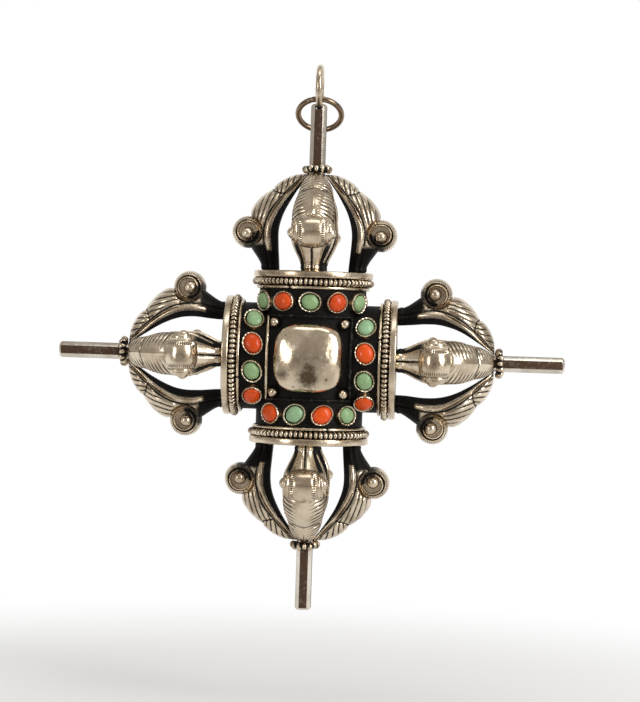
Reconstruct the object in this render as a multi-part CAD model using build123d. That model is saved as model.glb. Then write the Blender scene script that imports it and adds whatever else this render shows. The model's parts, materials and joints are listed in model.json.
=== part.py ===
"""Crossed-vajra ghau: a hollow silver amulet box with four caged arms, set with coral and turquoise.

Frame: millimetres, +Z up along the hanging arm, -Y the front, origin where the arms' axes cross.
Every arm is built once about its own axis, along +Z, and then turned about Y to its place.
"""

from build123d import *

import os
from math import cos, degrees, pi, radians, sin, sqrt

# Box of two crossed drums
DRUM_RADIUS = 9.5
DRUM_WALL = 0.9
DRUM_REACH = 14.05
FIT_CLEARANCE = 0.04
SOLDER_GAP = 0.02

# End disc of each arm, with the spigot that fits the drum
DISC_OVERHANG = 1.1
DISC_THICKNESS = 1.2
DISC_EDGE_ROUND = 0.3
SPIGOT_LENGTH = 4.0
SPIGOT_WALL = 0.8

# Wires round the drums and round the boss
BEAD_WIRE_RADIUS = 0.68
DRUM_WIRE_RADIUS = 0.3
FRAME_WIRE_RADIUS = 0.28
FRAME_MARGIN = 1.25

# Domed boss, hollow, one on each face
BOSS_HALF_WIDTH = 6.05
BOSS_CORNER_RADIUS = 4.3
BOSS_RISE = 4.1
BOSS_DOME_RADIUS = 11.0
BOSS_EDGE_ROUND = 2.0
BOSS_WALL = 0.8

# Granules in the valleys beside the boss
GRANULE_RADIUS = 0.85
GRANULE_INSET = 1.2

# Cabochon stones in their cups, which fill the band between the frame wire and the drum wire
BEZEL_HALF_LENGTH = 2.15
BEZEL_MARGIN = 0.34
BEZEL_SPACING = 0.26
BEZEL_WALL = 0.36
BEZEL_HEIGHT = 1.0
STONE_GIRDLE = 0.55
STONE_DOME = 0.95
# Angle of each row's middle from the front, and its stones in order: T turquoise, C coral
STONE_ROWS = {
    "top": (0.0, "TCTCT"),
    "right": (7.25, "TCTC"),
    "bottom": (-1.75, "TCTC"),
    "left": (-0.75, "CTCT"),
}

# Straight middle rod, a square bar with its edges taken off
ROD_WIDTH = 2.8
ROD_CHAMFER = 0.7
ROD_TIP_LENGTH = 10.6
ROD_END_CHAMFER = 0.35
TENON_RADIUS = 0.9

# Beaded collar that gathers the prongs on the rod
COLLAR_HEIGHT = 1.9
COLLAR_WALL = 0.7
COLLAR_BEAD_RADIUS = 0.68
COLLAR_BEADS = 12

# Curved prong: radii from the arm's axis of its inner face, side edge and spine
PRONG_HEIGHT = 17.3
PRONG_BELLY_HEIGHT = 6.2
PRONG_TIP_GAP = 0.05
FOOT_INNER = 6.2
FOOT_EDGE = 7.9
FOOT_SPINE = 9.3
BELLY_INNER = 6.6
BELLY_EDGE = 8.6
BELLY_SPINE = 12.2
TIP_EDGE_DEPTH = 0.3
TIP_SPINE_DEPTH = 1.5
SPINE_FULLNESS = 0.75
FOOT_INNER_HALF_WIDTH = 1.3
FOOT_EDGE_HALF_WIDTH = 1.6
BELLY_INNER_HALF_WIDTH = 1.6
BELLY_EDGE_HALF_WIDTH = 3.65
TIP_INNER_HALF_WIDTH = 0.7
TIP_EDGE_HALF_WIDTH = 0.95
EDGE_FULLNESS = 0.6
HAUNCH_ANGLE = 45.0
STALK_SECTIONS = 4
ARCH_SECTIONS = 8

# Scroll at the prong's shoulder, with a ball in each dished end
SCROLL_RADIUS = 2.95
SCROLL_SINK = 0.35
SCROLL_LIFT = 0.55
SCROLL_HALF_WIDTH = 3.4
SCROLL_RIM = 0.7
SCROLL_DISH = 0.8
EYE_RADIUS = 1.2
EYE_OFFSET = 3.1

# Hanging loop in the slotted end of the top rod, and the loose ring through it
LOOP_RADIUS = 3.4
LOOP_WIRE_RADIUS = 0.6
LOOP_SINK = 0.9
RING_RADIUS = 3.87
RING_WIRE_RADIUS = 0.52
RING_CLEARANCE = 0.15
RING_LEAN = 50.0

# Radii that follow from the sizes above
BORE_RADIUS = DRUM_RADIUS - DRUM_WALL
SEAT_RADIUS = DRUM_RADIUS + SOLDER_GAP
DISC_RADIUS = DRUM_RADIUS + DISC_OVERHANG
COLLAR_CORE_RADIUS = ROD_WIDTH / 2 + COLLAR_WALL
TIP_INNER = ROD_WIDTH / 2 + PRONG_TIP_GAP
SCROLL_OFFSET = BELLY_SPINE - SCROLL_SINK

# Places that follow, as distances along an arm from the hub's centre
DISC_FACE = DRUM_REACH + DISC_THICKNESS
COLLAR_BASE = DISC_FACE + PRONG_HEIGHT
ROD_END = COLLAR_BASE + COLLAR_HEIGHT + ROD_TIP_LENGTH
BEAD_WIRE_REACH = DRUM_REACH - BEAD_WIRE_RADIUS - SOLDER_GAP
DRUM_WIRE_REACH = BEAD_WIRE_REACH - BEAD_WIRE_RADIUS - DRUM_WIRE_RADIUS
FRAME_REACH = BOSS_HALF_WIDTH + FRAME_MARGIN
GRANULE_REACH = FRAME_REACH - GRANULE_INSET
STONE_BAND_START = FRAME_REACH + FRAME_WIRE_RADIUS
STONE_BAND_END = DRUM_WIRE_REACH - DRUM_WIRE_RADIUS
STONE_REACH = (STONE_BAND_START + STONE_BAND_END) / 2
BEZEL_HALF_WIDTH = (STONE_BAND_END - STONE_BAND_START) / 2 - BEZEL_MARGIN
SCROLL_HEIGHT = DISC_FACE + PRONG_BELLY_HEIGHT + SCROLL_LIFT
LOOP_CENTRE = ROD_END - LOOP_SINK + LOOP_WIRE_RADIUS + LOOP_RADIUS
LOOP_FLOOR = LOOP_CENTRE - LOOP_RADIUS + LOOP_WIRE_RADIUS
RING_HINGE = LOOP_FLOOR + RING_CLEARANCE + RING_WIRE_RADIUS

# The four arms, a quarter turn apart, and which way each prong faces once its arm is turned
QUARTER_TURN = 90
PRONG_SIDES = {
    "top": ("right", "back", "left", "front"),
    "right": ("lower", "back", "upper", "front"),
    "bottom": ("left", "back", "right", "front"),
    "left": ("upper", "back", "lower", "front"),
}
ARM_TURNS = {arm: index * QUARTER_TURN for index, arm in enumerate(PRONG_SIDES)}


def on_arm(arm, shape):
    """Turns a shape built along +Z to its arm."""
    return Rot(0, ARM_TURNS[arm], 0) * shape


def to_back(shape):
    """Turns a shape from the front face to the back one."""
    return Rot(0, 0, 2 * QUARTER_TURN) * shape


def crossed_drums(radius, reach):
    """Solid cross of two bars of one radius, through both pairs of arms."""
    upright = Cylinder(radius, 2 * reach)
    return upright + Rot(0, QUARTER_TURN, 0) * upright


def hub_shell():
    """The amulet box: crossed tubes, open at all four ends."""
    return crossed_drums(DRUM_RADIUS, DRUM_REACH) - crossed_drums(BORE_RADIUS, DISC_FACE)


def ring(radius, wire_radius, height):
    """Round wire ring about the arm's axis."""
    return Pos(0, 0, height) * Torus(radius, wire_radius)


def bead_wire():
    """Beaded wire at the drum's mouth, as its outer form."""
    return ring(SEAT_RADIUS + BEAD_WIRE_RADIUS, BEAD_WIRE_RADIUS, BEAD_WIRE_REACH)


def drum_wire():
    """Plain wire between the beaded wire and the stones."""
    return ring(SEAT_RADIUS + DRUM_WIRE_RADIUS, DRUM_WIRE_RADIUS, DRUM_WIRE_REACH)


def frame_wire():
    """Four wires across the front of the drums, mitred into a frame round the boss."""
    wire = ring(SEAT_RADIUS + FRAME_WIRE_RADIUS, FRAME_WIRE_RADIUS, FRAME_REACH)
    span = 2 * DRUM_RADIUS
    quarter = make_face(Polyline((0, 0), (span, span), (-span, span), close=True))
    side = wire & extrude(Plane.XZ * quarter, span)
    return [on_arm(arm, side) for arm in ARM_TURNS]


def boss_block(inset):
    """Rounded square block along -Y with a domed top, set in all round by a wall."""
    half_width = BOSS_HALF_WIDTH - inset
    top = DRUM_RADIUS + BOSS_RISE - inset
    dome_radius = BOSS_DOME_RADIUS - inset
    base = RectangleRounded(2 * half_width, 2 * half_width, BOSS_CORNER_RADIUS - inset)
    dome = Pos(0, dome_radius - top, 0) * Sphere(dome_radius)
    block = extrude(Plane.XZ * base, top) & dome
    rim = block.edges().filter_by(lambda edge: edge.center().Y < -top / 2)
    return fillet(rim, BOSS_EDGE_ROUND - inset)


def boss():
    """Raised dome of sheet silver that sits over the crossing of the drums."""
    return boss_block(0) - boss_block(BOSS_WALL) - crossed_drums(SEAT_RADIUS, DRUM_REACH)


def granules():
    """One silver ball in each valley between two drums, beside the boss's corners."""
    from_axis = SEAT_RADIUS + GRANULE_RADIUS
    depth = sqrt(from_axis**2 - GRANULE_REACH**2)
    ball = Pos(GRANULE_REACH, -depth, GRANULE_REACH) * Sphere(GRANULE_RADIUS)
    return [on_arm(arm, ball) for arm in ARM_TURNS]


def oval(half_length, half_width, bottom, top):
    """Oval bar along the seat's normal, between two distances from the drum's axis."""
    return extrude(Pos(0, 0, bottom) * Ellipse(half_length, half_width), top - bottom)


def bezel():
    """Cup wall for one stone, along +Z, long side along X."""
    top = DRUM_RADIUS + BEZEL_HEIGHT
    outside = oval(BEZEL_HALF_LENGTH, BEZEL_HALF_WIDTH, BORE_RADIUS, top)
    return outside - oval(BEZEL_HALF_LENGTH - BEZEL_WALL, BEZEL_HALF_WIDTH - BEZEL_WALL, BORE_RADIUS, top)


def cabochon():
    """Oval stone with a domed top, along +Z, long side along X."""
    half_length = BEZEL_HALF_LENGTH - BEZEL_WALL - FIT_CLEARANCE
    half_width = BEZEL_HALF_WIDTH - BEZEL_WALL - FIT_CLEARANCE
    girdle = DRUM_RADIUS + STONE_GIRDLE
    dome = Pos(0, 0, girdle) * scale(Sphere(1), by=(half_length, half_width, STONE_DOME))
    return oval(half_length, half_width, BORE_RADIUS, girdle) + dome


def stone_seats(kinds):
    """Places of the stones of some kinds on the front of the box, each with its normal along +Z."""
    pitch = degrees((2 * BEZEL_HALF_LENGTH + BEZEL_SPACING) / DRUM_RADIUS)
    upright_seat = Pos(0, 0, STONE_REACH) * Rot(QUARTER_TURN, 0, 0)
    seats = []
    for arm, (middle_angle, row) in STONE_ROWS.items():
        for index, kind in enumerate(row):
            angle = middle_angle + (index - (len(row) - 1) / 2) * pitch
            if kind in kinds:
                seats.append(on_arm(arm, Rot(0, 0, angle) * upright_seat))
    return seats


def set_stones(piece, kinds):
    """Copies of a piece at the seats of some kinds of stone, each cut to sit on the drums."""
    drums = crossed_drums(SEAT_RADIUS, DRUM_REACH)
    return [seat * piece - drums for seat in stone_seats(kinds)]


def rod_section(grow=0.0):
    """Cross-section of the rod, or of a hole that clears it."""
    width = ROD_WIDTH + 2 * grow
    return chamfer(Rectangle(width, width).vertices(), ROD_CHAMFER)


def end_disc():
    """Disc that closes a drum, with a spigot inside the drum and a hole for the rod's tenon."""
    plate = Pos(0, 0, DISC_FACE - DISC_THICKNESS / 2) * Cylinder(DISC_RADIUS, DISC_THICKNESS)
    plate = fillet(plate.edges(), DISC_EDGE_ROUND)
    outer = BORE_RADIUS - FIT_CLEARANCE
    tube = Cylinder(outer, SPIGOT_LENGTH) - Cylinder(outer - SPIGOT_WALL, SPIGOT_LENGTH)
    spigot = Pos(0, 0, DRUM_REACH - SPIGOT_LENGTH / 2) * tube
    hole = Pos(0, 0, DISC_FACE) * Cylinder(TENON_RADIUS + FIT_CLEARANCE, 2 * DISC_FACE)
    return plate + spigot - hole


def rod():
    """Middle rod from the disc to the arm's tip, with a tenon through the disc."""
    bar = Pos(0, 0, DISC_FACE) * extrude(rod_section(), ROD_END - DISC_FACE)
    bar = chamfer(bar.faces().sort_by(Axis.Z)[-1].edges(), ROD_END_CHAMFER)
    tenon = Pos(0, 0, DISC_FACE - DISC_THICKNESS / 2) * Cylinder(TENON_RADIUS, DISC_THICKNESS)
    return bar + tenon


def slotted_rod():
    """The top arm's rod, with a slot across its end for the hanging loop."""
    slot = Box(2 * (LOOP_WIRE_RADIUS + SOLDER_GAP), 2 * ROD_WIDTH, 2 * (LOOP_SINK + SOLDER_GAP))
    return rod() - Pos(0, 0, ROD_END) * slot


def tip_collar():
    """Ring of beads round the rod, over the prongs' tips."""
    middle = COLLAR_BASE + COLLAR_HEIGHT / 2
    bead = Pos(COLLAR_CORE_RADIUS, 0, middle) * Sphere(COLLAR_BEAD_RADIUS)
    step = 4 * QUARTER_TURN / COLLAR_BEADS
    beads = [Rot(0, 0, index * step) * bead for index in range(COLLAR_BEADS)]
    core = Pos(0, 0, middle) * Cylinder(COLLAR_CORE_RADIUS, COLLAR_HEIGHT)
    hole = Pos(0, 0, COLLAR_BASE) * extrude(rod_section(FIT_CLEARANCE), COLLAR_HEIGHT)
    return core + beads - hole


def rise(share):
    """Eases from 0 to 1."""
    return share * share * (3 - 2 * share)


def between(start, end, share):
    return start + (end - start) * share


def stalk_outline(share):
    """Radii and half widths of the prong from its foot, share 0, to its belly, share 1."""
    swell = rise(share)
    return (
        between(FOOT_INNER, BELLY_INNER, swell),
        between(FOOT_EDGE, BELLY_EDGE, swell),
        between(FOOT_SPINE, BELLY_SPINE, swell),
        between(FOOT_INNER_HALF_WIDTH, BELLY_INNER_HALF_WIDTH, swell),
        between(FOOT_EDGE_HALF_WIDTH, BELLY_EDGE_HALF_WIDTH, swell),
    )


def arch_outline(share):
    """Radii and half widths of the prong from its belly, share 0, to its tip on the rod, share 1."""
    fall = max(cos(pi / 2 * share), 0.0)
    return (
        between(TIP_INNER, BELLY_INNER, fall),
        between(TIP_INNER + TIP_EDGE_DEPTH, BELLY_EDGE, fall),
        between(TIP_INNER + TIP_SPINE_DEPTH, BELLY_SPINE, fall**SPINE_FULLNESS),
        between(TIP_INNER_HALF_WIDTH, BELLY_INNER_HALF_WIDTH, fall),
        between(TIP_EDGE_HALF_WIDTH, BELLY_EDGE_HALF_WIDTH, fall**EDGE_FULLNESS),
    )


def prong_section(height, outline):
    """Seven-sided section of the prong: flat inner face, two side edges, two haunches and a spine."""
    inner, edge, spine, inner_half, edge_half = outline
    haunch = between(edge, spine, cos(radians(HAUNCH_ANGLE)))
    haunch_half = edge_half * sin(radians(HAUNCH_ANGLE))
    half = [(inner, inner_half), (edge, edge_half), (haunch, haunch_half)]
    other_half = [(radius, -width) for radius, width in reversed(half)]
    return Pos(0, 0, DISC_FACE + height) * make_face(Polyline(*half, (spine, 0), *other_half, close=True))


def prong_body():
    """Curved arm of the prong, from its foot on the disc to its tip under the collar."""
    sections = []
    for index in range(STALK_SECTIONS):
        share = index / STALK_SECTIONS
        sections.append(prong_section(share * PRONG_BELLY_HEIGHT, stalk_outline(share)))
    for index in range(ARCH_SECTIONS + 1):
        share = index / ARCH_SECTIONS
        height = between(PRONG_BELLY_HEIGHT, PRONG_HEIGHT, share)
        sections.append(prong_section(height, arch_outline(share)))
    return loft(sections, ruled=True)


def scroll():
    """Rolled end across the prong's shoulder, dished at both ends, each dish with a ball."""
    drum = Cylinder(SCROLL_RADIUS, 2 * SCROLL_HALF_WIDTH)
    dish = Cylinder(SCROLL_RADIUS - SCROLL_RIM, 2 * SCROLL_DISH)
    for end in (-1, 1):
        drum -= Pos(0, 0, end * SCROLL_HALF_WIDTH) * dish
        drum += Pos(0, 0, end * EYE_OFFSET) * Sphere(EYE_RADIUS)
    return Pos(SCROLL_OFFSET, 0, SCROLL_HEIGHT) * Rot(QUARTER_TURN, 0, 0) * drum


def prong():
    """One prong on the arm's +X side."""
    return prong_body() + scroll()


def hanging_loop():
    """Fixed loop in the top rod's slot, with its opening facing sideways."""
    return Pos(0, 0, LOOP_CENTRE) * Rot(0, QUARTER_TURN, 0) * Torus(LOOP_RADIUS, LOOP_WIRE_RADIUS)


def jump_ring():
    """Loose ring through the loop, leaning back from the rod."""
    hanging = Pos(0, 0, -RING_RADIUS) * Rot(QUARTER_TURN, 0, 0) * Torus(RING_RADIUS, RING_WIRE_RADIUS)
    return Pos(0, 0, RING_HINGE) * Rot(RING_LEAN, 0, 0) * hanging


def face_pieces():
    """Pieces on the front of the box, by name, before they are copied to the back."""
    return {
        "boss": [boss()],
        "frame_wire": frame_wire(),
        "granules": granules(),
        "bezels": set_stones(bezel(), "CT"),
        "coral_stones": set_stones(cabochon(), "C"),
        "turquoise_stones": set_stones(cabochon(), "T"),
    }


def arm_pieces():
    """Pieces of every arm, by name, turned to their places."""
    shapes = {
        "end_disc": end_disc(),
        "bead_wire": bead_wire(),
        "drum_wire": drum_wire(),
        "rod": rod(),
        "tip_collar": tip_collar(),
    }
    curved = prong()
    pieces = {}
    for arm, sides in PRONG_SIDES.items():
        for name, shape in shapes.items():
            pieces[f"{arm}_{name}"] = [on_arm(arm, shape)]
        for index, side in enumerate(sides):
            pieces[f"{arm}_prong_{side}"] = [on_arm(arm, Rot(0, 0, index * QUARTER_TURN) * curved)]
    pieces["top_rod"] = [on_arm("top", slotted_rod())]
    return pieces


def all_pieces():
    """Every piece of the object, by the name of its node."""
    pieces = {"hub_shell": [hub_shell()], "hanging_loop": [hanging_loop()], "jump_ring": [jump_ring()]}
    for name, shapes in face_pieces().items():
        pieces[f"front_{name}"] = shapes
        pieces[f"back_{name}"] = [to_back(shape) for shape in shapes]
    pieces.update(arm_pieces())
    return pieces


def main():
    os.makedirs("parts", exist_ok=True)
    for name, shapes in all_pieces().items():
        solids = [solid for shape in shapes for solid in shape.solids()]
        export_step(Compound(children=solids) if len(solids) > 1 else solids[0], f"parts/{name}.step")


if __name__ == "__main__":
    main()
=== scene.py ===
"""Looks of a crossed-vajra amulet box: worn silver with black recesses, coral and turquoise."""

import json
from math import asin, cos, pi, radians, sin, sqrt

import bpy
import numpy as np
from mathutils import Matrix, Vector, kdtree, noise


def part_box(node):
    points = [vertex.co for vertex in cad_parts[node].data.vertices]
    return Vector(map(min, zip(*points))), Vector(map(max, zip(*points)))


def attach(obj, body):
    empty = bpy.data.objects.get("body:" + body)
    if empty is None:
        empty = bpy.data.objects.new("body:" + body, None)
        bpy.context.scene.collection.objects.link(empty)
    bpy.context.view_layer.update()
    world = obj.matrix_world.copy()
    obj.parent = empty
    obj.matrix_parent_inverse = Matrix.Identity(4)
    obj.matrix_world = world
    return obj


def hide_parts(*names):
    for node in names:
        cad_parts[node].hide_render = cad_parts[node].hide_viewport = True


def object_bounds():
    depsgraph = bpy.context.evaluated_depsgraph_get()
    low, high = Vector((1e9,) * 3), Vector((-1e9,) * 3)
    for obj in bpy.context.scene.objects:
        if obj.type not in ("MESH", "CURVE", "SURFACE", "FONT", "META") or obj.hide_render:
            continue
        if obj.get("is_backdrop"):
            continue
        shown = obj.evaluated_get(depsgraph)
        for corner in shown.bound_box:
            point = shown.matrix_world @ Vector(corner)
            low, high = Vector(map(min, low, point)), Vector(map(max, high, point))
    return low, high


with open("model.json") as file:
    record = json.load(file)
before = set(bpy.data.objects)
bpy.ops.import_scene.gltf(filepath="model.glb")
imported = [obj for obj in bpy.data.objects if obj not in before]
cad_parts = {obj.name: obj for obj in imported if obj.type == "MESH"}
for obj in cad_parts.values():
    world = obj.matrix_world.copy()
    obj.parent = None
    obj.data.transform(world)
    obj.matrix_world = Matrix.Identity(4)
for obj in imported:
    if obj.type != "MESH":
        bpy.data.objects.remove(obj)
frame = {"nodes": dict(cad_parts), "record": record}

bl_info = {
    "name": "Crossed-vajra amulet box",
    "version": (1, 0, 0),
    "blender": (4, 5, 0),
    "location": "View3D > Sidebar > Amulet box",
    "description": "Dresses the amulet box in worn silver and stones",
    "category": "Object",
}

MM = 0.001
CAD_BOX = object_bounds()

# Sizes that the frame gives, in metres
DRUM_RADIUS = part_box("hub_shell")[1].y
DRUM_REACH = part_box("hub_shell")[1].z
DISC_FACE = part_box("top_end_disc")[1].z
DISC_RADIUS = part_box("top_end_disc")[1].x
DISC_THICKNESS = DISC_FACE - DRUM_REACH
SPIGOT_LENGTH = DRUM_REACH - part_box("top_end_disc")[0].z
PRONG_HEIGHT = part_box("top_prong_right")[1].z - DISC_FACE
PRONG_TIP_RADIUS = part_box("top_prong_right")[0].x
ROD_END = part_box("right_rod")[1].x
ROD_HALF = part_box("right_rod")[1].y
COLLAR_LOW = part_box("top_tip_collar")[0].z
COLLAR_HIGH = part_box("top_tip_collar")[1].z
COLLAR_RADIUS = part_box("top_tip_collar")[1].x
BEAD_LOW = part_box("top_bead_wire")[0].z
BEAD_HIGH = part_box("top_bead_wire")[1].z
BEAD_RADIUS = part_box("top_bead_wire")[1].x
WIRE_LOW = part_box("top_drum_wire")[0].z
WIRE_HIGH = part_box("top_drum_wire")[1].z
FRAME_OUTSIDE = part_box("front_frame_wire")[1].x
BOSS_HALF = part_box("front_boss")[1].x
BOSS_TOP = -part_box("front_boss")[0].y
GRANULE_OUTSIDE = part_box("front_granules")[1].x
GRANULE_FRONT = -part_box("front_granules")[0].y
LOOP_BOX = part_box("hanging_loop")
RING_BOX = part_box("jump_ring")

# Fits and radii that the frame's boxes don't give
SOLDER_GAP = 0.02 * MM
FIT_CLEARANCE = 0.04 * MM
SEAT_RADIUS = DRUM_RADIUS + SOLDER_GAP
# Seed of the noise that gives hand-made unevenness
UNEVEN_SEED = 5

ARM_TURNS = {"top": 0.0, "right": 90.0, "bottom": 180.0, "left": 270.0}
PRONG_SIDES = {
    "top": ("right", "back", "left", "front"),
    "right": ("lower", "back", "upper", "front"),
    "bottom": ("left", "back", "right", "front"),
    "left": ("upper", "back", "lower", "front"),
}
# Angle of each row's middle from the front, and its stones in order: T turquoise, C coral
STONE_ROWS = {
    "top": (0.0, "TCTCT"),
    "right": (7.25, "TCTC"),
    "bottom": (-1.75, "TCTC"),
    "left": (-0.75, "CTCT"),
}

BODIES = frame["record"]["behaviour"]["bodies"]
BODY_OF = {node: body for body, nodes in BODIES.items() for node in nodes}


class GhauSizes(bpy.types.PropertyGroup):
    """Sizes of the worked detail that a maker would change."""

    beads: bpy.props.IntProperty(name="Beads", description="Beads round each drum's mouth", default=74)
    collar_beads: bpy.props.IntProperty(
        name="Collar beads", description="Beads round each collar", default=14
    )
    barb_pitch: bpy.props.FloatProperty(
        name="Barb pitch", description="Distance between feather cuts", default=0.85 * MM, unit="LENGTH"
    )
    hatch_pitch: bpy.props.FloatProperty(
        name="Hatch pitch", description="Distance between hatch cuts", default=0.7 * MM, unit="LENGTH"
    )
    barb_depth: bpy.props.FloatProperty(
        name="Barb depth", description="Depth of the feather cuts", default=0.17 * MM, unit="LENGTH"
    )
    lobe_lift: bpy.props.FloatProperty(
        name="Lobe lift", description="How far a feather's end stands up", default=0.72 * MM, unit="LENGTH"
    )
    bezel_teeth: bpy.props.IntProperty(name="Bezel teeth", description="Marks round each bezel", default=18)
    dent: bpy.props.FloatProperty(
        name="Dents", description="Depth of the boss's soft dents", default=0.11 * MM, unit="LENGTH"
    )


class GhauColours(bpy.types.PropertyGroup):
    """Colours of the finishes."""

    silver: bpy.props.FloatVectorProperty(
        name="Silver", description="Rubbed silver", subtype="COLOR", default=(0.74, 0.63, 0.48)
    )
    tarnish: bpy.props.FloatVectorProperty(
        name="Tarnish", description="Warm film on the silver", subtype="COLOR", default=(0.30, 0.21, 0.13)
    )
    black: bpy.props.FloatVectorProperty(
        name="Black", description="Oxide in the recesses", subtype="COLOR", default=(0.005, 0.0042, 0.0036)
    )
    bronze: bpy.props.FloatVectorProperty(
        name="Bronze", description="The loose ring", subtype="COLOR", default=(0.20, 0.145, 0.10)
    )
    coral: bpy.props.FloatVectorProperty(
        name="Coral", description="Coral stones", subtype="COLOR", default=(0.78, 0.088, 0.006)
    )
    coral_deep: bpy.props.FloatVectorProperty(
        name="Deep coral", description="Darker coral stones", subtype="COLOR", default=(0.56, 0.055, 0.005)
    )
    turquoise: bpy.props.FloatVectorProperty(
        name="Turquoise", description="Turquoise stones", subtype="COLOR", default=(0.30, 0.52, 0.33)
    )
    olive: bpy.props.FloatVectorProperty(
        name="Olive", description="Greener turquoise", subtype="COLOR", default=(0.25, 0.38, 0.17)
    )


class GhauStage(bpy.types.PropertyGroup):
    """Viewpoint, lamps and floor."""

    azimuth: bpy.props.FloatProperty(
        name="Azimuth", description="Camera's turn to the right", default=radians(2.5), subtype="ANGLE"
    )
    elevation: bpy.props.FloatProperty(
        name="Elevation", description="Camera's height above level", default=radians(1.0), subtype="ANGLE"
    )
    roll: bpy.props.FloatProperty(
        name="Roll", description="Camera's roll", default=radians(1.9), subtype="ANGLE"
    )
    distance: bpy.props.FloatProperty(
        name="Distance", description="Camera's distance from the hub", default=400.0 * MM, unit="LENGTH"
    )
    lens: bpy.props.FloatProperty(name="Lens", description="Focal length in millimetres", default=115.0)
    aside: bpy.props.FloatProperty(
        name="Aside", description="Camera's step to the right", default=1.6 * MM, unit="LENGTH"
    )
    above: bpy.props.FloatProperty(
        name="Above", description="Camera's step upwards", default=1.14 * MM, unit="LENGTH"
    )
    key: bpy.props.FloatProperty(name="Key", description="Key lamp, upper right", default=2.5, unit="POWER")
    fill: bpy.props.FloatProperty(name="Fill", description="Fill lamp, left", default=0.55, unit="POWER")
    top: bpy.props.FloatProperty(name="Top", description="Lamp from above", default=0.55, unit="POWER")
    drop: bpy.props.FloatProperty(
        name="Drop", description="Floor's distance under the object", default=18.0 * MM, unit="LENGTH"
    )


def sizes():
    return bpy.context.scene.ghau_sizes


def colours():
    return bpy.context.scene.ghau_colours


# Mesh helpers

# Edges sharper than these stay crisp
FORM_CRISP = radians(60.0)
BEAD_CRISP = radians(70.0)
CUP_CRISP = radians(50.0)
SEAM_CRISP = radians(40.0)
DISC_CRISP = radians(30.0)
ROD_CRISP = radians(25.0)
# Wire of a hoop before it is shaped, as a share of its radius
BLANK_WIRE = 0.25
DRUM_FACETS = 256
MARK_SHARPNESS = 2.0
# Black on a wire's side that is turned to its seat
SEAT_SIDE = 0.1
SEAT_SIDE_FADE = 0.6
# How near counts as the same place, and how much of a normal counts as facing an axis
NEAR = 0.01 * MM
FACING = 0.9


def deselect():
    bpy.ops.object.select_all(action="DESELECT")


def hold(piece):
    """Leaves edit mode, selects one piece alone and makes it active."""
    if bpy.context.mode != "OBJECT":
        bpy.ops.object.mode_set(mode="OBJECT")
    deselect()
    piece.select_set(True)
    bpy.context.view_layer.objects.active = piece


def take(name):
    """Names the piece just added, with its place moved into its mesh."""
    piece = bpy.context.object
    piece.name = name
    piece.data.name = name
    bpy.ops.object.transform_apply(location=True, rotation=True, scale=True)
    return piece


def points(piece):
    xyz = np.zeros(len(piece.data.vertices) * 3)
    piece.data.vertices.foreach_get("co", xyz)
    return xyz.reshape(-1, 3)


def place(piece, x, y, z):
    """Moves every point of a piece to its worked-out place."""
    xyz = np.stack([x, y, z], axis=1)
    piece.data.vertices.foreach_set("co", xyz.ravel())
    piece.data.update()


def write_layer(piece, name, values):
    """Stores one number for each point of a piece."""
    held = piece.data.attributes
    layer = held[name] if name in held else held.new(name, "FLOAT", "POINT")
    layer.data.foreach_set("value", np.ascontiguousarray(values, dtype=np.float32))


def read_layer(piece, name):
    values = np.zeros(len(piece.data.vertices), dtype=np.float32)
    piece.data.attributes[name].data.foreach_get("value", values)
    return values


def stain(piece, values):
    """Stores how much black each point holds, from 0 rubbed bright to 1 black."""
    write_layer(piece, "patina", np.clip(values, 0.0, 1.0))


def tone(piece, value):
    """Stores one shade for a whole stone."""
    write_layer(piece, "tone", np.full(len(piece.data.vertices), value))


def ball_grid(name, rings, segments):
    """A sphere to be shaped: gives each point's ring, 0 and rings at the poles, and its angle round."""
    deselect()
    bpy.ops.mesh.primitive_uv_sphere_add(segments=segments, ring_count=rings, radius=1.0)
    piece = take(name)
    xyz = points(piece)
    ring = np.rint(np.arccos(np.clip(xyz[:, 2], -1.0, 1.0)) / pi * rings)
    around = np.arctan2(xyz[:, 1], xyz[:, 0])
    return piece, ring, around


def hoop_grid(name, turns, sides):
    """A torus to be shaped: gives each point's angle round the hoop and its angle round the wire."""
    deselect()
    bpy.ops.mesh.primitive_torus_add(
        major_segments=turns, minor_segments=sides, major_radius=1.0, minor_radius=BLANK_WIRE
    )
    piece = take(name)
    xyz = points(piece)
    around = np.arctan2(xyz[:, 1], xyz[:, 0])
    across = np.arctan2(xyz[:, 2], np.hypot(xyz[:, 0], xyz[:, 1]) - 1.0)
    return piece, around, across


def clear_choice(piece, kind):
    """Leaves none of a piece's faces or edges selected."""
    hold(piece)
    bpy.ops.object.mode_set(mode="EDIT")
    bpy.ops.mesh.select_mode(type=kind)
    bpy.ops.mesh.select_all(action="DESELECT")
    bpy.ops.object.mode_set(mode="OBJECT")


def pick_faces(piece, test):
    """Opens a piece in edit mode with the faces selected whose middle and normal pass a test."""
    clear_choice(piece, "FACE")
    for face in piece.data.polygons:
        face.select = test(face.center, face.normal)
    bpy.ops.object.mode_set(mode="EDIT")


def pick_edges(piece, test):
    """Opens a piece in edit mode with the edges selected whose two ends pass a test."""
    clear_choice(piece, "EDGE")
    corners = piece.data.vertices
    for edge in piece.data.edges:
        edge.select = test(*(corners[index].co for index in edge.vertices))
    bpy.ops.object.mode_set(mode="EDIT")


def push(distance):
    """Extrudes what is selected along Z."""
    bpy.ops.mesh.extrude_region_move(TRANSFORM_OT_translate={"value": (0.0, 0.0, distance)})


def close_edit():
    bpy.ops.object.mode_set(mode="OBJECT")


def close_up(piece, crisp=FORM_CRISP):
    """Turns all faces outwards and smooths the piece, apart from its crisp edges."""
    hold(piece)
    bpy.ops.object.mode_set(mode="EDIT")
    bpy.ops.mesh.select_all(action="SELECT")
    bpy.ops.mesh.normals_make_consistent(inside=False)
    bpy.ops.object.mode_set(mode="OBJECT")
    bpy.ops.object.shade_smooth_by_angle(angle=crisp)


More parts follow.
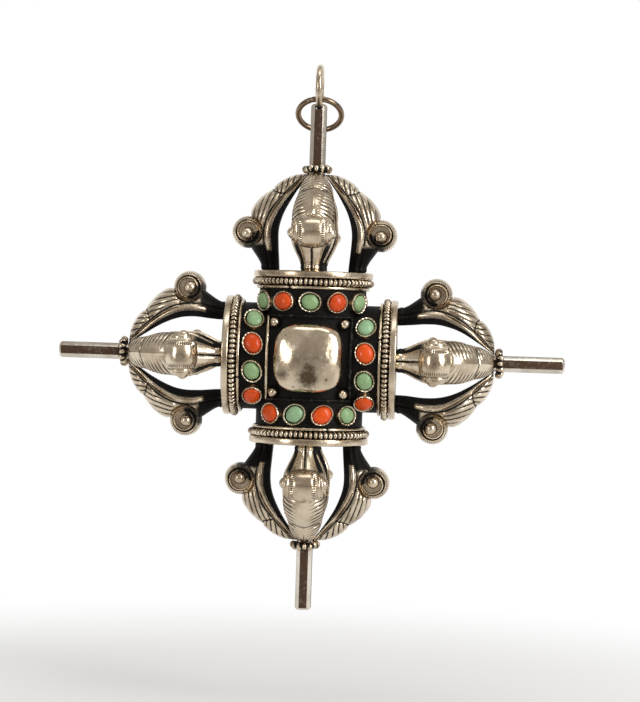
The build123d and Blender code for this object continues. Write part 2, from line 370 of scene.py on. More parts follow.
def carve(piece, tool, operation):
    """Joins a tool body to a piece, or cuts it away, and removes the tool."""
    hold(piece)
    change = piece.modifiers.new("carve", "BOOLEAN")
    change.operation = operation
    change.object = tool
    change.solver = "EXACT"
    bpy.ops.object.modifier_apply(modifier=change.name)
    bpy.data.objects.remove(tool)


def twin(piece, name, turn):
    """A copy with its own mesh, turned to its place."""
    copy = piece.copy()
    copy.data = piece.data.copy()
    copy.name = name
    copy.data.name = name
    copy.data.transform(turn)
    bpy.context.scene.collection.objects.link(copy)
    return copy


def join(pieces, name):
    """Joins pieces into one object."""
    deselect()
    for piece in pieces:
        piece.select_set(True)
    bpy.context.view_layer.objects.active = pieces[0]
    bpy.ops.object.join()
    return take(name)


def discard(piece):
    bpy.data.objects.remove(piece)


def settle(piece, node, finish):
    """Lets a piece stand for a node of the frame, ride on its body and take its finish."""
    piece.data.materials.clear()
    piece.data.materials.append(finish)
    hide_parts(node)
    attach(piece, BODY_OF[node])


def settle_arms(model, part, finish):
    """Copies a piece built along +Z to all four arms and removes the model."""
    for arm in ARM_TURNS:
        node = f"{arm}_{part}"
        settle(twin(model, f"{node}_worked", arm_turn(arm)), node, finish)
    discard(model)


def settle_faces(model, part, finish):
    """Lets a piece built on the front stand there and, turned round, on the back."""
    half_turn = Matrix.Rotation(pi, 4, "Z")
    settle(twin(model, f"back_{part}_worked", half_turn), f"back_{part}", finish)
    model.name = f"front_{part}_worked"
    settle(model, f"front_{part}", finish)


def arm_turn(arm):
    return Matrix.Rotation(radians(ARM_TURNS[arm]), 4, "Y")


def mix(start, end, share):
    return start + (end - start) * share


def ease(share):
    share = np.clip(share, 0.0, 1.0)
    return share * share * (3.0 - 2.0 * share)


def bump(distance, width):
    return np.exp(-((distance / width) ** 2))


def marks(phase):
    """A row of narrow marks, one at each whole number."""
    return (0.5 + 0.5 * np.cos(2.0 * pi * phase)) ** MARK_SHARPNESS


def darkest(*stains):
    """The deepest of several stains at each point."""
    return np.maximum.reduce(stains)


def seat_side(across):
    """Stain of a wire on the side that is turned to its seat."""
    return ease((SEAT_SIDE - np.cos(across)) / SEAT_SIDE_FADE)


def rough_up(piece, depth, pitch, seed, axes=(1.0, 1.0, 1.0)):
    """Soft hand-made unevenness: moves each point a little along some axes, by a smooth noise."""
    noise.seed_set(UNEVEN_SEED)
    xyz = points(piece)
    offset = Vector((seed, seed, seed))
    shifts = [noise.noise_vector(Vector(point) / pitch + offset) for point in xyz]
    xyz += np.array(shifts) * np.array(axes) * depth
    place(piece, *xyz.T)


def drum_tool(turn):
    """Solid drum of the box, as a cutter."""
    deselect()
    bpy.ops.mesh.primitive_cylinder_add(
        vertices=DRUM_FACETS, radius=SEAT_RADIUS, depth=2.0 * DRUM_REACH, rotation=(0.0, turn, 0.0)
    )
    return take("drum_tool")


def sit_on_drums(piece):
    """Cuts a piece's underside to the crossed drums that carry it."""
    reach = np.abs(points(piece)).max(axis=0)
    for turn in (0.0, pi / 2.0):
        carve(piece, drum_tool(turn), "DIFFERENCE")
    if np.any(np.abs(points(piece)).max(axis=0) > reach + SOLDER_GAP):
        raise RuntimeError(f"{piece.name} grew while it was cut to the drums")


# Finishes

# Aged silver: scales of its patterns, and the ranges and strengths with which they show
FILM_SCALE = 260.0
HANDLING_SCALE = 1700.0
GRAIN_SCALE = 6000.0
GRAIN_DETAIL = 2.0
GRAIN_HEIGHT = 0.35
FILM_RANGE = (0.38, 0.68)
BLACK_RANGE = (0.22, 0.72)
BLACK_UNEVEN = 0.55
BLACK_ROUGHNESS = 0.3
BLACK_DULLNESS = 0.55
HANDLING_RANGE = (0.3, 0.8)
HANDLING_ROUGHNESS = (0.0, 0.16)
SILVER_SPECULAR = 0.25
RELIEF_STRENGTH = 0.6
ROD_BRIGHT = (0.80, 0.75, 0.66)
ROD_BROWN = (0.075, 0.043, 0.025)
BOSS_BROWN = (0.085, 0.055, 0.034)
# Stones: clouds, specks and a waxy gloss
CLOUD_SCALE = 900.0
CLOUD_DETAIL = 6.0
CLOUD_SHARE = 0.4
SHADE_RANGE = (0.2, 1.2)
SPECK_DETAIL = 5.0
SPECK_ROUGHNESS = 0.7
SPECK_RANGE = (0.64, 0.74)
SPECK_DEPTH = 0.75
GLOSS_RANGE = (0.3, 0.8)
GLOSS_ROUGHNESS = (0.22, 0.42)
GLOSS = {"Coat Weight": 0.28, "Coat Roughness": 0.15, "Specular IOR Level": 0.2}
STONE_GRAIN = 0.04 * MM
CORAL_SPECK = (0.10, 0.012, 0.006)
CORAL_SPECK_SCALE = 1500.0
TURQUOISE_SPECK = (0.05, 0.06, 0.035)
TURQUOISE_SPECK_SCALE = 1100.0


def link(tree, source, target):
    tree.links.new(source, target)


def add(tree, kind, **values):
    node = tree.nodes.new(kind)
    for name, value in values.items():
        setattr(node, name, value)
    return node


def feed(tree, socket, value):
    """Links a socket, or sets a plain value."""
    if isinstance(value, bpy.types.NodeSocket):
        link(tree, value, socket)
    elif socket.type == "RGBA":
        socket.default_value = (*value, 1.0)
    else:
        socket.default_value = value


def noise_of(tree, coords, scale, detail=4.0, roughness=0.55):
    texture = add(tree, "ShaderNodeTexNoise")
    texture.inputs["Scale"].default_value = scale
    texture.inputs["Detail"].default_value = detail
    texture.inputs["Roughness"].default_value = roughness
    link(tree, coords, texture.inputs["Vector"])
    return texture.outputs["Fac"]


def spread(tree, value, low, high, to_low=0.0, to_high=1.0):
    """Stretches a value from one range to another, held at the ends."""
    step = add(tree, "ShaderNodeMapRange", interpolation_type="SMOOTHSTEP")
    for name, number in (("From Min", low), ("From Max", high), ("To Min", to_low), ("To Max", to_high)):
        step.inputs[name].default_value = number
    link(tree, value, step.inputs["Value"])
    return step.outputs["Result"]


def blend(tree, share, first, second):
    """Colour between two, each a colour or a socket."""
    node = add(tree, "ShaderNodeMix", data_type="RGBA")
    colour_inputs = [socket for socket in node.inputs if socket.type == "RGBA"]
    for socket, value in zip(colour_inputs, (first, second)):
        feed(tree, socket, value)
    feed(tree, node.inputs["Factor"], share)
    return [socket for socket in node.outputs if socket.type == "RGBA"][0]


def calc(tree, operation, first, second):
    node = add(tree, "ShaderNodeMath", operation=operation, use_clamp=operation == "ADD")
    for socket, value in zip(node.inputs, (first, second)):
        feed(tree, socket, value)
    return node.outputs[0]


def aged_silver_group():
    """Shared effect: silver with a warm film, black recesses, handling marks and fine grain."""
    name = "Aged silver"
    if name in bpy.data.node_groups:
        return bpy.data.node_groups[name]
    tree = bpy.data.node_groups.new(name, "ShaderNodeTree")
    face = tree.interface
    for label in ("Silver", "Film", "Black"):
        face.new_socket(label, in_out="INPUT", socket_type="NodeSocketColor")
    for label in ("Recess", "Film amount", "Polish"):
        face.new_socket(label, in_out="INPUT", socket_type="NodeSocketFloat")
    face.new_socket("Colour", in_out="OUTPUT", socket_type="NodeSocketColor")
    for label in ("Roughness", "Metal", "Height"):
        face.new_socket(label, in_out="OUTPUT", socket_type="NodeSocketFloat")
    given = add(tree, "NodeGroupInput").outputs
    out = add(tree, "NodeGroupOutput").inputs
    coords = add(tree, "ShaderNodeTexCoord").outputs["Object"]
    broad = noise_of(tree, coords, FILM_SCALE)
    fine = noise_of(tree, coords, HANDLING_SCALE)
    grain = noise_of(tree, coords, GRAIN_SCALE, detail=GRAIN_DETAIL)
    film = calc(tree, "MULTIPLY", spread(tree, broad, *FILM_RANGE), given["Film amount"])
    uneven = calc(tree, "MULTIPLY", calc(tree, "SUBTRACT", fine, 0.5), BLACK_UNEVEN)
    black = spread(tree, calc(tree, "ADD", given["Recess"], uneven), *BLACK_RANGE)
    bright = blend(tree, film, given["Silver"], given["Film"])
    link(tree, blend(tree, black, bright, given["Black"]), out["Colour"])
    worn = spread(tree, fine, *HANDLING_RANGE, *HANDLING_ROUGHNESS)
    handled = calc(tree, "ADD", given["Polish"], worn)
    rough_black = calc(tree, "MULTIPLY", black, BLACK_ROUGHNESS)
    link(tree, calc(tree, "ADD", handled, rough_black), out["Roughness"])
    dull_black = calc(tree, "MULTIPLY", black, BLACK_DULLNESS)
    link(tree, calc(tree, "SUBTRACT", 1.0, dull_black), out["Metal"])
    low_grain = calc(tree, "MULTIPLY", grain, GRAIN_HEIGHT)
    link(tree, calc(tree, "ADD", low_grain, fine), out["Height"])
    return tree


def new_finish(name):
    """An empty finish: its tree and its shader."""
    finish = bpy.data.materials.new(name)
    finish.use_nodes = True
    tree = finish.node_tree
    return finish, tree, tree.nodes["Principled BSDF"]


def relief(tree, shader, height, depth):
    node = add(tree, "ShaderNodeBump")
    node.inputs["Distance"].default_value = depth
    node.inputs["Strength"].default_value = RELIEF_STRENGTH
    link(tree, height, node.inputs["Height"])
    link(tree, node.outputs["Normal"], shader.inputs["Normal"])


def silver_finish(name, film, silver=None, black=None, polish=0.2, recess=None, depth=0.03 * MM):
    """Worn silver. The recess comes from the piece's own patina, or is one value all over."""
    if name in bpy.data.materials:
        return bpy.data.materials[name]
    finish, tree, shader = new_finish(name)
    aged = add(tree, "ShaderNodeGroup", node_tree=aged_silver_group())
    values = {
        "Silver": silver or colours().silver,
        "Film": colours().tarnish,
        "Black": black or colours().black,
        "Film amount": film,
        "Polish": polish,
    }
    for label, value in values.items():
        feed(tree, aged.inputs[label], value)
    shader.inputs["Specular IOR Level"].default_value = SILVER_SPECULAR
    if recess is None:
        held = add(tree, "ShaderNodeAttribute", attribute_name="patina")
        link(tree, held.outputs["Fac"], aged.inputs["Recess"])
    else:
        aged.inputs["Recess"].default_value = recess
    for label, socket in (("Colour", "Base Color"), ("Roughness", "Roughness"), ("Metal", "Metallic")):
        link(tree, aged.outputs[label], shader.inputs[socket])
    relief(tree, shader, aged.outputs["Height"], depth)
    return finish


def worn_silver():
    return silver_finish("worn silver", film=0.65)


def rubbed_silver():
    return silver_finish("rubbed silver", film=0.55, polish=0.16)


def brown_silver():
    return silver_finish("brown silver", film=0.35, silver=ROD_BRIGHT, black=ROD_BROWN)


def boss_silver():
    return silver_finish("boss silver", film=0.42, black=BOSS_BROWN, polish=0.14)


def bronzed_silver():
    return silver_finish("bronzed silver", film=0.6, silver=colours().bronze, polish=0.16)


def black_silver():
    return silver_finish("black silver", film=0.8, polish=0.3, recess=0.8, depth=0.08 * MM)


def stone_finish(name, main, other, speck_colour, speck_scale):
    """Polished stone: two shades by its own tone, clouded, with dark specks and a waxy gloss."""
    if name in bpy.data.materials:
        return bpy.data.materials[name]
    finish, tree, shader = new_finish(name)
    coords = add(tree, "ShaderNodeTexCoord").outputs["Object"]
    held = add(tree, "ShaderNodeAttribute", attribute_name="tone").outputs["Fac"]
    cloud = noise_of(tree, coords, CLOUD_SCALE, detail=CLOUD_DETAIL)
    clouded = calc(tree, "ADD", held, calc(tree, "MULTIPLY", cloud, CLOUD_SHARE))
    shade = spread(tree, clouded, *SHADE_RANGE)
    spots = noise_of(tree, coords, speck_scale, detail=SPECK_DETAIL, roughness=SPECK_ROUGHNESS)
    speck = spread(tree, spots, *SPECK_RANGE)
    body = blend(tree, shade, main, other)
    speck = calc(tree, "MULTIPLY", speck, SPECK_DEPTH)
    link(tree, blend(tree, speck, body, speck_colour), shader.inputs["Base Color"])
    link(tree, spread(tree, cloud, *GLOSS_RANGE, *GLOSS_ROUGHNESS), shader.inputs["Roughness"])
    for label, value in GLOSS.items():
        shader.inputs[label].default_value = value
    relief(tree, shader, cloud, STONE_GRAIN)
    return finish


def coral_finish():
    shades = colours().coral, colours().coral_deep
    return stone_finish("coral stone", *shades, CORAL_SPECK, CORAL_SPECK_SCALE)


def turquoise_finish():
    shades = colours().turquoise, colours().olive
    return stone_finish("turquoise stone", *shades, TURQUOISE_SPECK, TURQUOISE_SPECK_SCALE)


# Prongs

BELLY_HEIGHT = 6.2 * MM
FOOT_INNER = 6.2 * MM
FOOT_EDGE = 7.9 * MM
FOOT_SPINE = 9.3 * MM
BELLY_INNER = 6.6 * MM
BELLY_EDGE = 8.6 * MM
BELLY_SPINE = 12.2 * MM
TIP_EDGE_DEPTH = 0.3 * MM
TIP_SPINE_DEPTH = 1.5 * MM
FOOT_INNER_HALF = 1.3 * MM
FOOT_EDGE_HALF = 1.6 * MM
BELLY_INNER_HALF = 1.6 * MM
BELLY_EDGE_HALF = 3.65 * MM
TIP_INNER_HALF = 0.7 * MM
TIP_EDGE_HALF = 0.95 * MM
SPINE_FULLNESS = 0.75
EDGE_FULLNESS = 0.6
PRONG_RINGS = 200
PRONG_SEGMENTS = 112
# Where the feather lobes end, as distances along the spine from the tip
LOBE_ENDS = (5.2 * MM, 11.6 * MM)
LOBE_SLANT = 1.6 * MM
BARB_SLANT = 2.8 * MM
HATCH_LEAN = radians(20.0)
# Shares of the half section: feathered back, then rim, then side wall, then inner face
BACK_SHARE = 0.62
RIM_SHARE = 0.74
WALL_SHARE = 0.92
GROOVE_MIDDLE = 0.93
GROOVE_WIDTH = 0.05
GROOVE_DEPTH = 0.2 * MM
RIM_DEPTH = 0.75 * MM
RIM_SWELL = 0.24 * MM
STALK_BLACK = 3.2 * MM
RIB_HEIGHT = 0.16 * MM
RIB_WIDTH = 0.2 * MM
SPINE_STEPS = 600
LOBE_FULLNESS = 0.6
LOBE_SHADE_WIDTH = 0.3 * MM
# The feather's cuts are faint beside the spine: shares of the back over which they grow and fade
BARB_FAINT = 0.5
BARB_GROWTH_START = 0.2
BARB_GROWTH = 0.3
BARB_FADE = 0.1
# Most of the depth between edge and inner face that the rim may take
RIM_MOST = 0.8
CREASE_WIDTH = 0.3 * MM
CREASE_DEPTH = 0.35 * MM
FOOT_RING_HEIGHT = 0.5 * MM
FOOT_RING_WIDTH = 0.32 * MM
FOOT_RING_RISE = 0.2 * MM
FOOT_RING_SWELL = 0.15 * MM
# Black on the prong: how deep, and over how much it fades
BARB_STAIN = 0.8
LOBE_STEP_SHADE = 0.85
CREASE_STAIN = 0.8
GROOVE_STAIN = 0.85
FLANK_FADE = 0.12
WALL_FADE = 0.25
TONGUE_FADE = 1.6 * MM
PRONG_UNEVEN = 0.07 * MM
PRONG_UNEVEN_PITCH = 3.0 * MM

SCROLL_RADIUS = 2.87 * MM
SCROLL_OFFSET = 11.85 * MM
SCROLL_HEIGHT = 6.75 * MM
SCROLL_FLOOR = 2.5 * MM
DISH_RADIUS = 1.68 * MM
BARREL_HALF = 2.42 * MM
BARREL_END = 2.2 * MM
# Rim that winds in from the barrel: distances from the scroll's axis and from its middle
COIL_RIM = (
    (1.7 * MM, 3.1 * MM),
    (1.76 * MM, 3.36 * MM),
    (1.88 * MM, 3.46 * MM),
    (2.0 * MM, 3.36 * MM),
    (2.06 * MM, 3.1 * MM),
    (2.07 * MM, 2.66 * MM),
)
# Thin rim between the coil's groove and the barrel
BARREL_RIM = (
    (2.08 * MM, 2.66 * MM),
    (2.1 * MM, 2.9 * MM),
    (2.18 * MM, 2.97 * MM),
    (2.28 * MM, 2.88 * MM),
    (2.32 * MM, 2.74 * MM),
    (2.26 * MM, 2.6 * MM),
    (2.18 * MM, 2.5 * MM),
)
EYE_RADIUS = 1.05 * MM
EYE_OFFSET = 3.2 * MM
EYE_SHIFT = 0.3 * MM
SCROLL_RINGS = 168
SCROLL_SEGMENTS = 80
COIL_DRAW = 0.42 * MM
COIL_START = radians(176.0)
SCROLL_TICKS = 40
TICK_DEPTH = 0.13 * MM
SHOULDER_HEIGHT = 1.95 * MM
SHOULDER_WIDTH = 0.42 * MM
EYE_TURN = radians(115.0)
EYE_STEPS = 14
EYE_CLEARANCE = 0.05 * MM
DISH_STEPS = 10
BARREL_STEPS = 24
BARREL_FULLNESS = 0.6
# Prong's body inside the scroll: how far it stays under the dish, and over how much it draws in
DISH_COVER = 0.15 * MM
DRAW_IN = 0.4 * MM
# Black on the scroll: where it lies, how wide it is and how deep
DISH_STAIN = 0.3
DISH_STAIN_START = 0.9 * EYE_RADIUS
DISH_STAIN_RISE = 0.3 * MM
UNDER_EYE_WIDTH = 0.1 * MM
TICK_STAIN = 0.8
COIL_GROOVE_STAIN = 0.95
COIL_GROOVE_RADIUS = 2.075 * MM
COIL_GROOVE_HEIGHT = 2.66 * MM
COIL_GROOVE_WIDTH = 0.04 * MM
COIL_GROOVE_RISE = 0.2 * MM
BARREL_EDGE_STAIN = 0.55
BARREL_EDGE_RADIUS = 2.1 * MM
BARREL_EDGE_HEIGHT = 2.46 * MM
BARREL_EDGE_WIDTH = 0.1 * MM
SCROLL_PAINTED_SHADE = 0.62
SHADED_SIDE_START = -0.3
SHADED_SIDE_FADE = 0.5
SHADED_SIDE_RADIUS = 1.2 * EYE_RADIUS
# Turns the scroll's painted shade from the side that faces the hub towards the stalk
SCROLL_SHADE_TURN = radians(35.0)
# Prongs on the faces keep bright stalks; the stalks of the others are black up to a light tongue
FACED_FLANK = 0.45
FACED_TONGUE = 0.8 * MM
FACED_CLEAR = 0.1
FACED_LIFT = 0.6
PLAIN_FLANK = -0.2
PLAIN_TONGUE = 2.8 * MM
PLAIN_CLEAR = -0.2
SEAM_GAP = 0.001 * MM
SEAM_STAIN = 0.7


def prong_outline(share):
    """Radii of inner face, edge and spine, then half widths of inner face and edge, along a prong."""
    belly = BELLY_HEIGHT / PRONG_HEIGHT
    swell = ease(share / belly)
    fall = np.cos(pi / 2.0 * np.clip((share - belly) / (1.0 - belly), 0.0, 1.0))
    fall = np.clip(fall, 0.0, 1.0)
    low = share < belly
    tip = PRONG_TIP_RADIUS

    def along(foot, middle, end, fullness=1.0):
        return np.where(low, mix(foot, middle, swell), mix(end, middle, fall**fullness))

    return (
        along(FOOT_INNER, BELLY_INNER, tip),
        along(FOOT_EDGE, BELLY_EDGE, tip + TIP_EDGE_DEPTH),
        along(FOOT_SPINE, BELLY_SPINE, tip + TIP_SPINE_DEPTH, SPINE_FULLNESS),
        along(FOOT_INNER_HALF, BELLY_INNER_HALF, TIP_INNER_HALF),
        along(FOOT_EDGE_HALF, BELLY_EDGE_HALF, TIP_EDGE_HALF, EDGE_FULLNESS),
    )


def even_travel(travel):
    """Share of the prong's height and distance from its tip, for even steps along its spine."""
    fine = np.linspace(0.0, 1.0, SPINE_STEPS)
    spine = prong_outline(fine)[2]
    steps = np.hypot(np.diff(spine), np.diff(fine * PRONG_HEIGHT))
    length = np.concatenate([[0.0], np.cumsum(steps)])
    share = np.interp(travel * length[-1], length, fine)
    return share, length[-1] * (1.0 - travel)


def feather(from_tip, across, clear, phase):
    """Lift of the lobes, depth of their cuts outside a clear spine, and the painted shade at the steps
    between the lobes.
    """
    edge = np.maximum(from_tip - LOBE_SLANT * across, 0.0)
    starts = (0.0, *LOBE_ENDS[:-1])
    lift = np.zeros_like(edge)
    shade = np.zeros_like(edge)
    for start, end in zip(starts, LOBE_ENDS):
        share = (edge - start) / (end - start)
        inside = (share >= 0.0) & (share < 1.0)
        rise = np.clip(4.0 * share * (1.0 - share), 0.0, 1.0) ** LOBE_FULLNESS
        lift = np.where(inside, rise * sizes().lobe_lift, lift)
        if start > 0.0:
            shade = np.where(inside, bump(edge - start, LOBE_SHADE_WIDTH), shade)
    cut = marks(phase) * mix(BARB_FAINT, 1.0, ease((across - BARB_GROWTH_START) / BARB_GROWTH))
    cut = cut * ease((across - clear) / BARB_FADE) * ease((GROOVE_MIDDLE - across) / BARB_FADE)
    feathered = edge < LOBE_ENDS[-1]
    return lift * feathered, cut * feathered, shade * feathered


def prong_body(flank_start, tongue_height, clear, hatched):
    """The prong without its scroll: stalk, feathered back, rims and black inner side.

    The stalk is black outside flank_start, a share of its back, and its rims below tongue_height.
    The feather's cuts start outside a clear share of the back. They follow the spine, or are a
    straight hatch.
    """
    piece, ring, around = ball_grid("prong_body", PRONG_RINGS, PRONG_SEGMENTS)
    travel = np.clip((ring - 1.0) / (PRONG_RINGS - 2.0), 0.0, 1.0)
    share, from_tip = even_travel(travel)
    height = share * PRONG_HEIGHT
    inner, edge, spine, inner_half, edge_half = prong_outline(share)
    turn = np.abs(around) / pi
    across = np.clip(turn / BACK_SHARE, 0.0, 1.0)
    rim = np.clip((turn - BACK_SHARE) / (RIM_SHARE - BACK_SHARE), 0.0, 1.0)
    wall = np.clip((turn - RIM_SHARE) / (WALL_SHARE - RIM_SHARE), 0.0, 1.0)
    floor = np.clip((turn - WALL_SHARE) / (1.0 - WALL_SHARE), 0.0, 1.0)
    on_back = (turn <= BACK_SHARE).astype(float)

    # Plain section: quarter oval, rounded rim, wall and inner face
    rim_depth = np.minimum(RIM_DEPTH, RIM_MOST * (edge - inner))
    radius = edge + (spine - edge) * np.cos(across * pi / 2.0)
    radius = radius - rim_depth * (1.0 - np.cos(rim * pi)) / 2.0
    half = edge_half * np.sin(across * pi / 2.0) + RIM_SWELL * np.sin(rim * pi)
    radius = mix(radius, inner, wall)
    half = mix(half, inner_half, wall) * (1.0 - floor)

    # Worked detail, pushed out along the section
    phase = (from_tip - BARB_SLANT * across) / sizes().barb_pitch
    if hatched:
        phase = (radius * cos(HATCH_LEAN) + height * sin(HATCH_LEAN)) / sizes().hatch_pitch
    lift, cut, shade = feather(from_tip, across, clear, phase)
    if not hatched:
        lift = FACED_LIFT * lift
    feathered = on_back * (from_tip < LOBE_ENDS[-1])
    rib = RIB_HEIGHT * bump(half, RIB_WIDTH) * feathered
    stalk = 1.0 - ease((height - STALK_BLACK) / (BELLY_HEIGHT - STALK_BLACK))
    crease = bump(half, CREASE_WIDTH) * on_back * stalk
    groove = bump(across - GROOVE_MIDDLE, GROOVE_WIDTH) * on_back
    foot_ring = bump(height - FOOT_RING_HEIGHT, FOOT_RING_WIDTH) * (1.0 - floor)
    out = (lift - cut * sizes().barb_depth) * on_back + rib
    out += FOOT_RING_RISE * foot_ring * on_back - CREASE_DEPTH * crease - GROOVE_DEPTH * groove
    radius += out * np.cos(across * pi / 2.0)
    half += out * np.sin(across * pi / 2.0) * on_back + FOOT_RING_SWELL * foot_ring * (1.0 - on_back)

    # Drawn in where it passes through the scroll, so that the scroll's dished ends stay open
    from_scroll = np.hypot(radius - SCROLL_OFFSET, height - SCROLL_HEIGHT)
    inside = ease((SCROLL_RADIUS - from_scroll) / DRAW_IN)
    half = mix(half, np.minimum(half, SCROLL_FLOOR - DISH_COVER), inside)
    pole = (ring == 0.0) | (ring == PRONG_RINGS)
    radius = np.where(pole, (inner + spine) / 2.0, radius)
    half = np.where(pole, 0.0, half)
    place(piece, radius, np.sign(around) * half, DISC_FACE + height)

    black = darkest(
        # Black in the cuts, and painted shade at the steps between the lobes
        np.maximum(cut * BARB_STAIN, shade * LOBE_STEP_SHADE) * on_back,
        CREASE_STAIN * crease,
        ease((across - flank_start) / FLANK_FADE) * on_back * stalk,
        GROOVE_STAIN * groove * ease(height / BELLY_HEIGHT),
        ease((wall + floor) / WALL_FADE),
        (1.0 - on_back) * (1.0 - ease((height - tongue_height) / TONGUE_FADE)),
    )
    stain(piece, black)
    close_up(piece)
    return piece


def scroll_path():
    """Half profile of the scroll, from its eye over the dish and the rims to its barrel's middle.

    Gives each point's share of the way, its place, and how far it follows the coil as that winds in.
    """
    dip = np.linspace(0.0, EYE_TURN, EYE_STEPS)
    eye = np.stack([EYE_RADIUS * np.sin(dip), EYE_OFFSET + EYE_RADIUS * np.cos(dip)])
    dish = np.linspace(eye[0, -1] + EYE_CLEARANCE, DISH_RADIUS, DISH_STEPS)
    floor = np.stack([dish, np.full_like(dish, SCROLL_FLOOR)])
    width = np.linspace(BARREL_HALF, 0.0, BARREL_STEPS)
    swell = (1.0 - (width / BARREL_HALF) ** 2) ** BARREL_FULLNESS
    barrel = np.stack([mix(BARREL_END, SCROLL_RADIUS, swell), width])
    path = np.concatenate([eye, floor, np.array(COIL_RIM).T, np.array(BARREL_RIM).T, barrel], axis=1)
    length = np.concatenate([[0.0], np.cumsum(np.hypot(*np.diff(path, axis=1)))])
    follow = np.zeros(path.shape[1])
    coil_start = eye.shape[1] + floor.shape[1]
    follow[eye.shape[1]:coil_start] = np.linspace(0.0, 1.0, floor.shape[1])
    follow[coil_start:coil_start + len(COIL_RIM)] = 1.0
    return length / length[-1], path, follow


def scroll():
    """Rolled end of the prong: in each dished end a coil that winds in to a ball, and cut rims."""
    piece, ring, around = ball_grid("prong_scroll", SCROLL_RINGS, SCROLL_SEGMENTS)
    half_rings = SCROLL_RINGS / 2.0
    side = np.where(ring <= half_rings, 1.0, -1.0)
    step = np.where(ring <= half_rings, ring, SCROLL_RINGS - ring) / half_rings
    length, path, follow = scroll_path()
    radius = np.interp(step, length, path[0])
    height = np.interp(step, length, path[1])
    in_dish = (radius > DISH_STAIN_START) & (radius < DISH_RADIUS)
    in_dish = in_dish & (height < SCROLL_FLOOR + DISH_STAIN_RISE)
    towards_hub = EYE_SHIFT * ease((DISH_RADIUS - radius) / (DISH_RADIUS - EYE_RADIUS))
    # Dark ring under the ball where it meets the dish: oxide in the crevice, and painted shade under the
    # ball
    under_eye = bump(radius - EYE_RADIUS, UNDER_EYE_WIDTH) * (height < EYE_OFFSET - UNDER_EYE_WIDTH)
    on_shoulder = bump(height - SHOULDER_HEIGHT, SHOULDER_WIDTH) * (radius > BARREL_END)
    tick = marks(SCROLL_TICKS * around / (2.0 * pi)) * on_shoulder
    groove = bump(height - COIL_GROOVE_HEIGHT, COIL_GROOVE_RISE)
    groove = groove * bump(radius - COIL_GROOVE_RADIUS, COIL_GROOVE_WIDTH)
    barrel_edge = bump(height - BARREL_EDGE_HEIGHT, BARREL_EDGE_WIDTH) * (radius > BARREL_EDGE_RADIUS)
    # Painted shade on the side of the scroll that faces the hub and the stalk
    shaded = ease((SHADED_SIDE_START - np.sin(around + SCROLL_SHADE_TURN)) / SHADED_SIDE_FADE)
    shaded = shaded * (radius > SHADED_SIDE_RADIUS)
    wound = ((COIL_START - around) / (2.0 * pi)) % 1.0
    radius = radius - TICK_DEPTH * tick - COIL_DRAW * wound * np.interp(step, length, follow)
    place(
        piece,
        SCROLL_OFFSET + radius * np.cos(around),
        side * height,
        DISC_FACE + SCROLL_HEIGHT + radius * np.sin(around) - towards_hub,
    )
    black = darkest(
        DISH_STAIN * in_dish,
        under_eye,
        TICK_STAIN * tick,
        COIL_GROOVE_STAIN * groove,
        BARREL_EDGE_STAIN * barrel_edge,
        SCROLL_PAINTED_SHADE * shaded,
    )
    stain(piece, black)
    close_up(piece)
    return piece


def fuse_scroll(body, curl):
    """Joins body and scroll. Points keep their stain, and the new ones along the seam get a dark one."""
    known = np.concatenate([points(body), points(curl)])
    held = np.concatenate([read_layer(body, "patina"), read_layer(curl, "patina")])
    tree = kdtree.KDTree(len(known))
    for index, point in enumerate(known):
        tree.insert(point, index)
    tree.balance()
    carve(body, curl, "UNION")
    found = [tree.find(point) for point in points(body)]
    stain(body, [held[index] if gap < SEAM_GAP else SEAM_STAIN for spot, index, gap in found])
    close_up(body, SEAM_CRISP)


class GHAU_OT_prongs(bpy.types.Operator):
    """Curved prongs with feathered backs and scrolls, on every arm"""

    bl_idname = "ghau.prongs"
    bl_label = "Prongs"

    def execute(self, context):
        faced = prong_body(FACED_FLANK, FACED_TONGUE, FACED_CLEAR, False)
        fuse_scroll(faced, scroll())
        plain = prong_body(PLAIN_FLANK, PLAIN_TONGUE, PLAIN_CLEAR, True)
        fuse_scroll(plain, scroll())
        for arm, sides in PRONG_SIDES.items():
            for index, side in enumerate(sides):
                node = f"{arm}_prong_{side}"
                on_face = side in ("front", "back")
                quarter = Matrix.Rotation(index * pi / 2.0, 4, "Z")
                piece = twin(faced if on_face else plain, f"{node}_worked", quarter)
                seed = ARM_TURNS[arm] + index
                rough_up(piece, PRONG_UNEVEN, PRONG_UNEVEN_PITCH, seed, axes=(1.0, 1.0, 0.0))
                piece.data.transform(arm_turn(arm))
                settle(piece, node, rubbed_silver() if on_face else worn_silver())
        discard(faced)
        discard(plain)
        return {"FINISHED"}


# Rings and discs

CORE_TURNS = 144
WIRE_SIDES = 10
BEAD_RINGS = 8
BEAD_SEGMENTS = 10
# Black on a bead of radius 1: towards its neighbours, and on its inner side
CLEFT_START = 0.7
CLEFT_FADE = 0.3
INNER_SIDE_START = -0.1
INNER_SIDE_FADE = 0.5
# Beads: half width as a share of their pitch, half height and core as shares of the room for them, sway
WIRE_BEAD_WIDTH = 0.53
WIRE_BEAD_HEIGHT = 0.94
WIRE_CORE = 0.7
WIRE_SWAY = 0.09
COLLAR_BEAD_WIDTH = 0.6
COLLAR_BEAD_HEIGHT = 0.8
COLLAR_CORE = 0.8
COLLAR_SWAY = 0.2
# Cut where a drum wire's ends meet
DRUM_WIRE_TURNS = 200
WIRE_CUT_ANGLE = radians(-112.0)
WIRE_CUT_WIDTH = 0.018
WIRE_CUT_DEPTH = 0.75


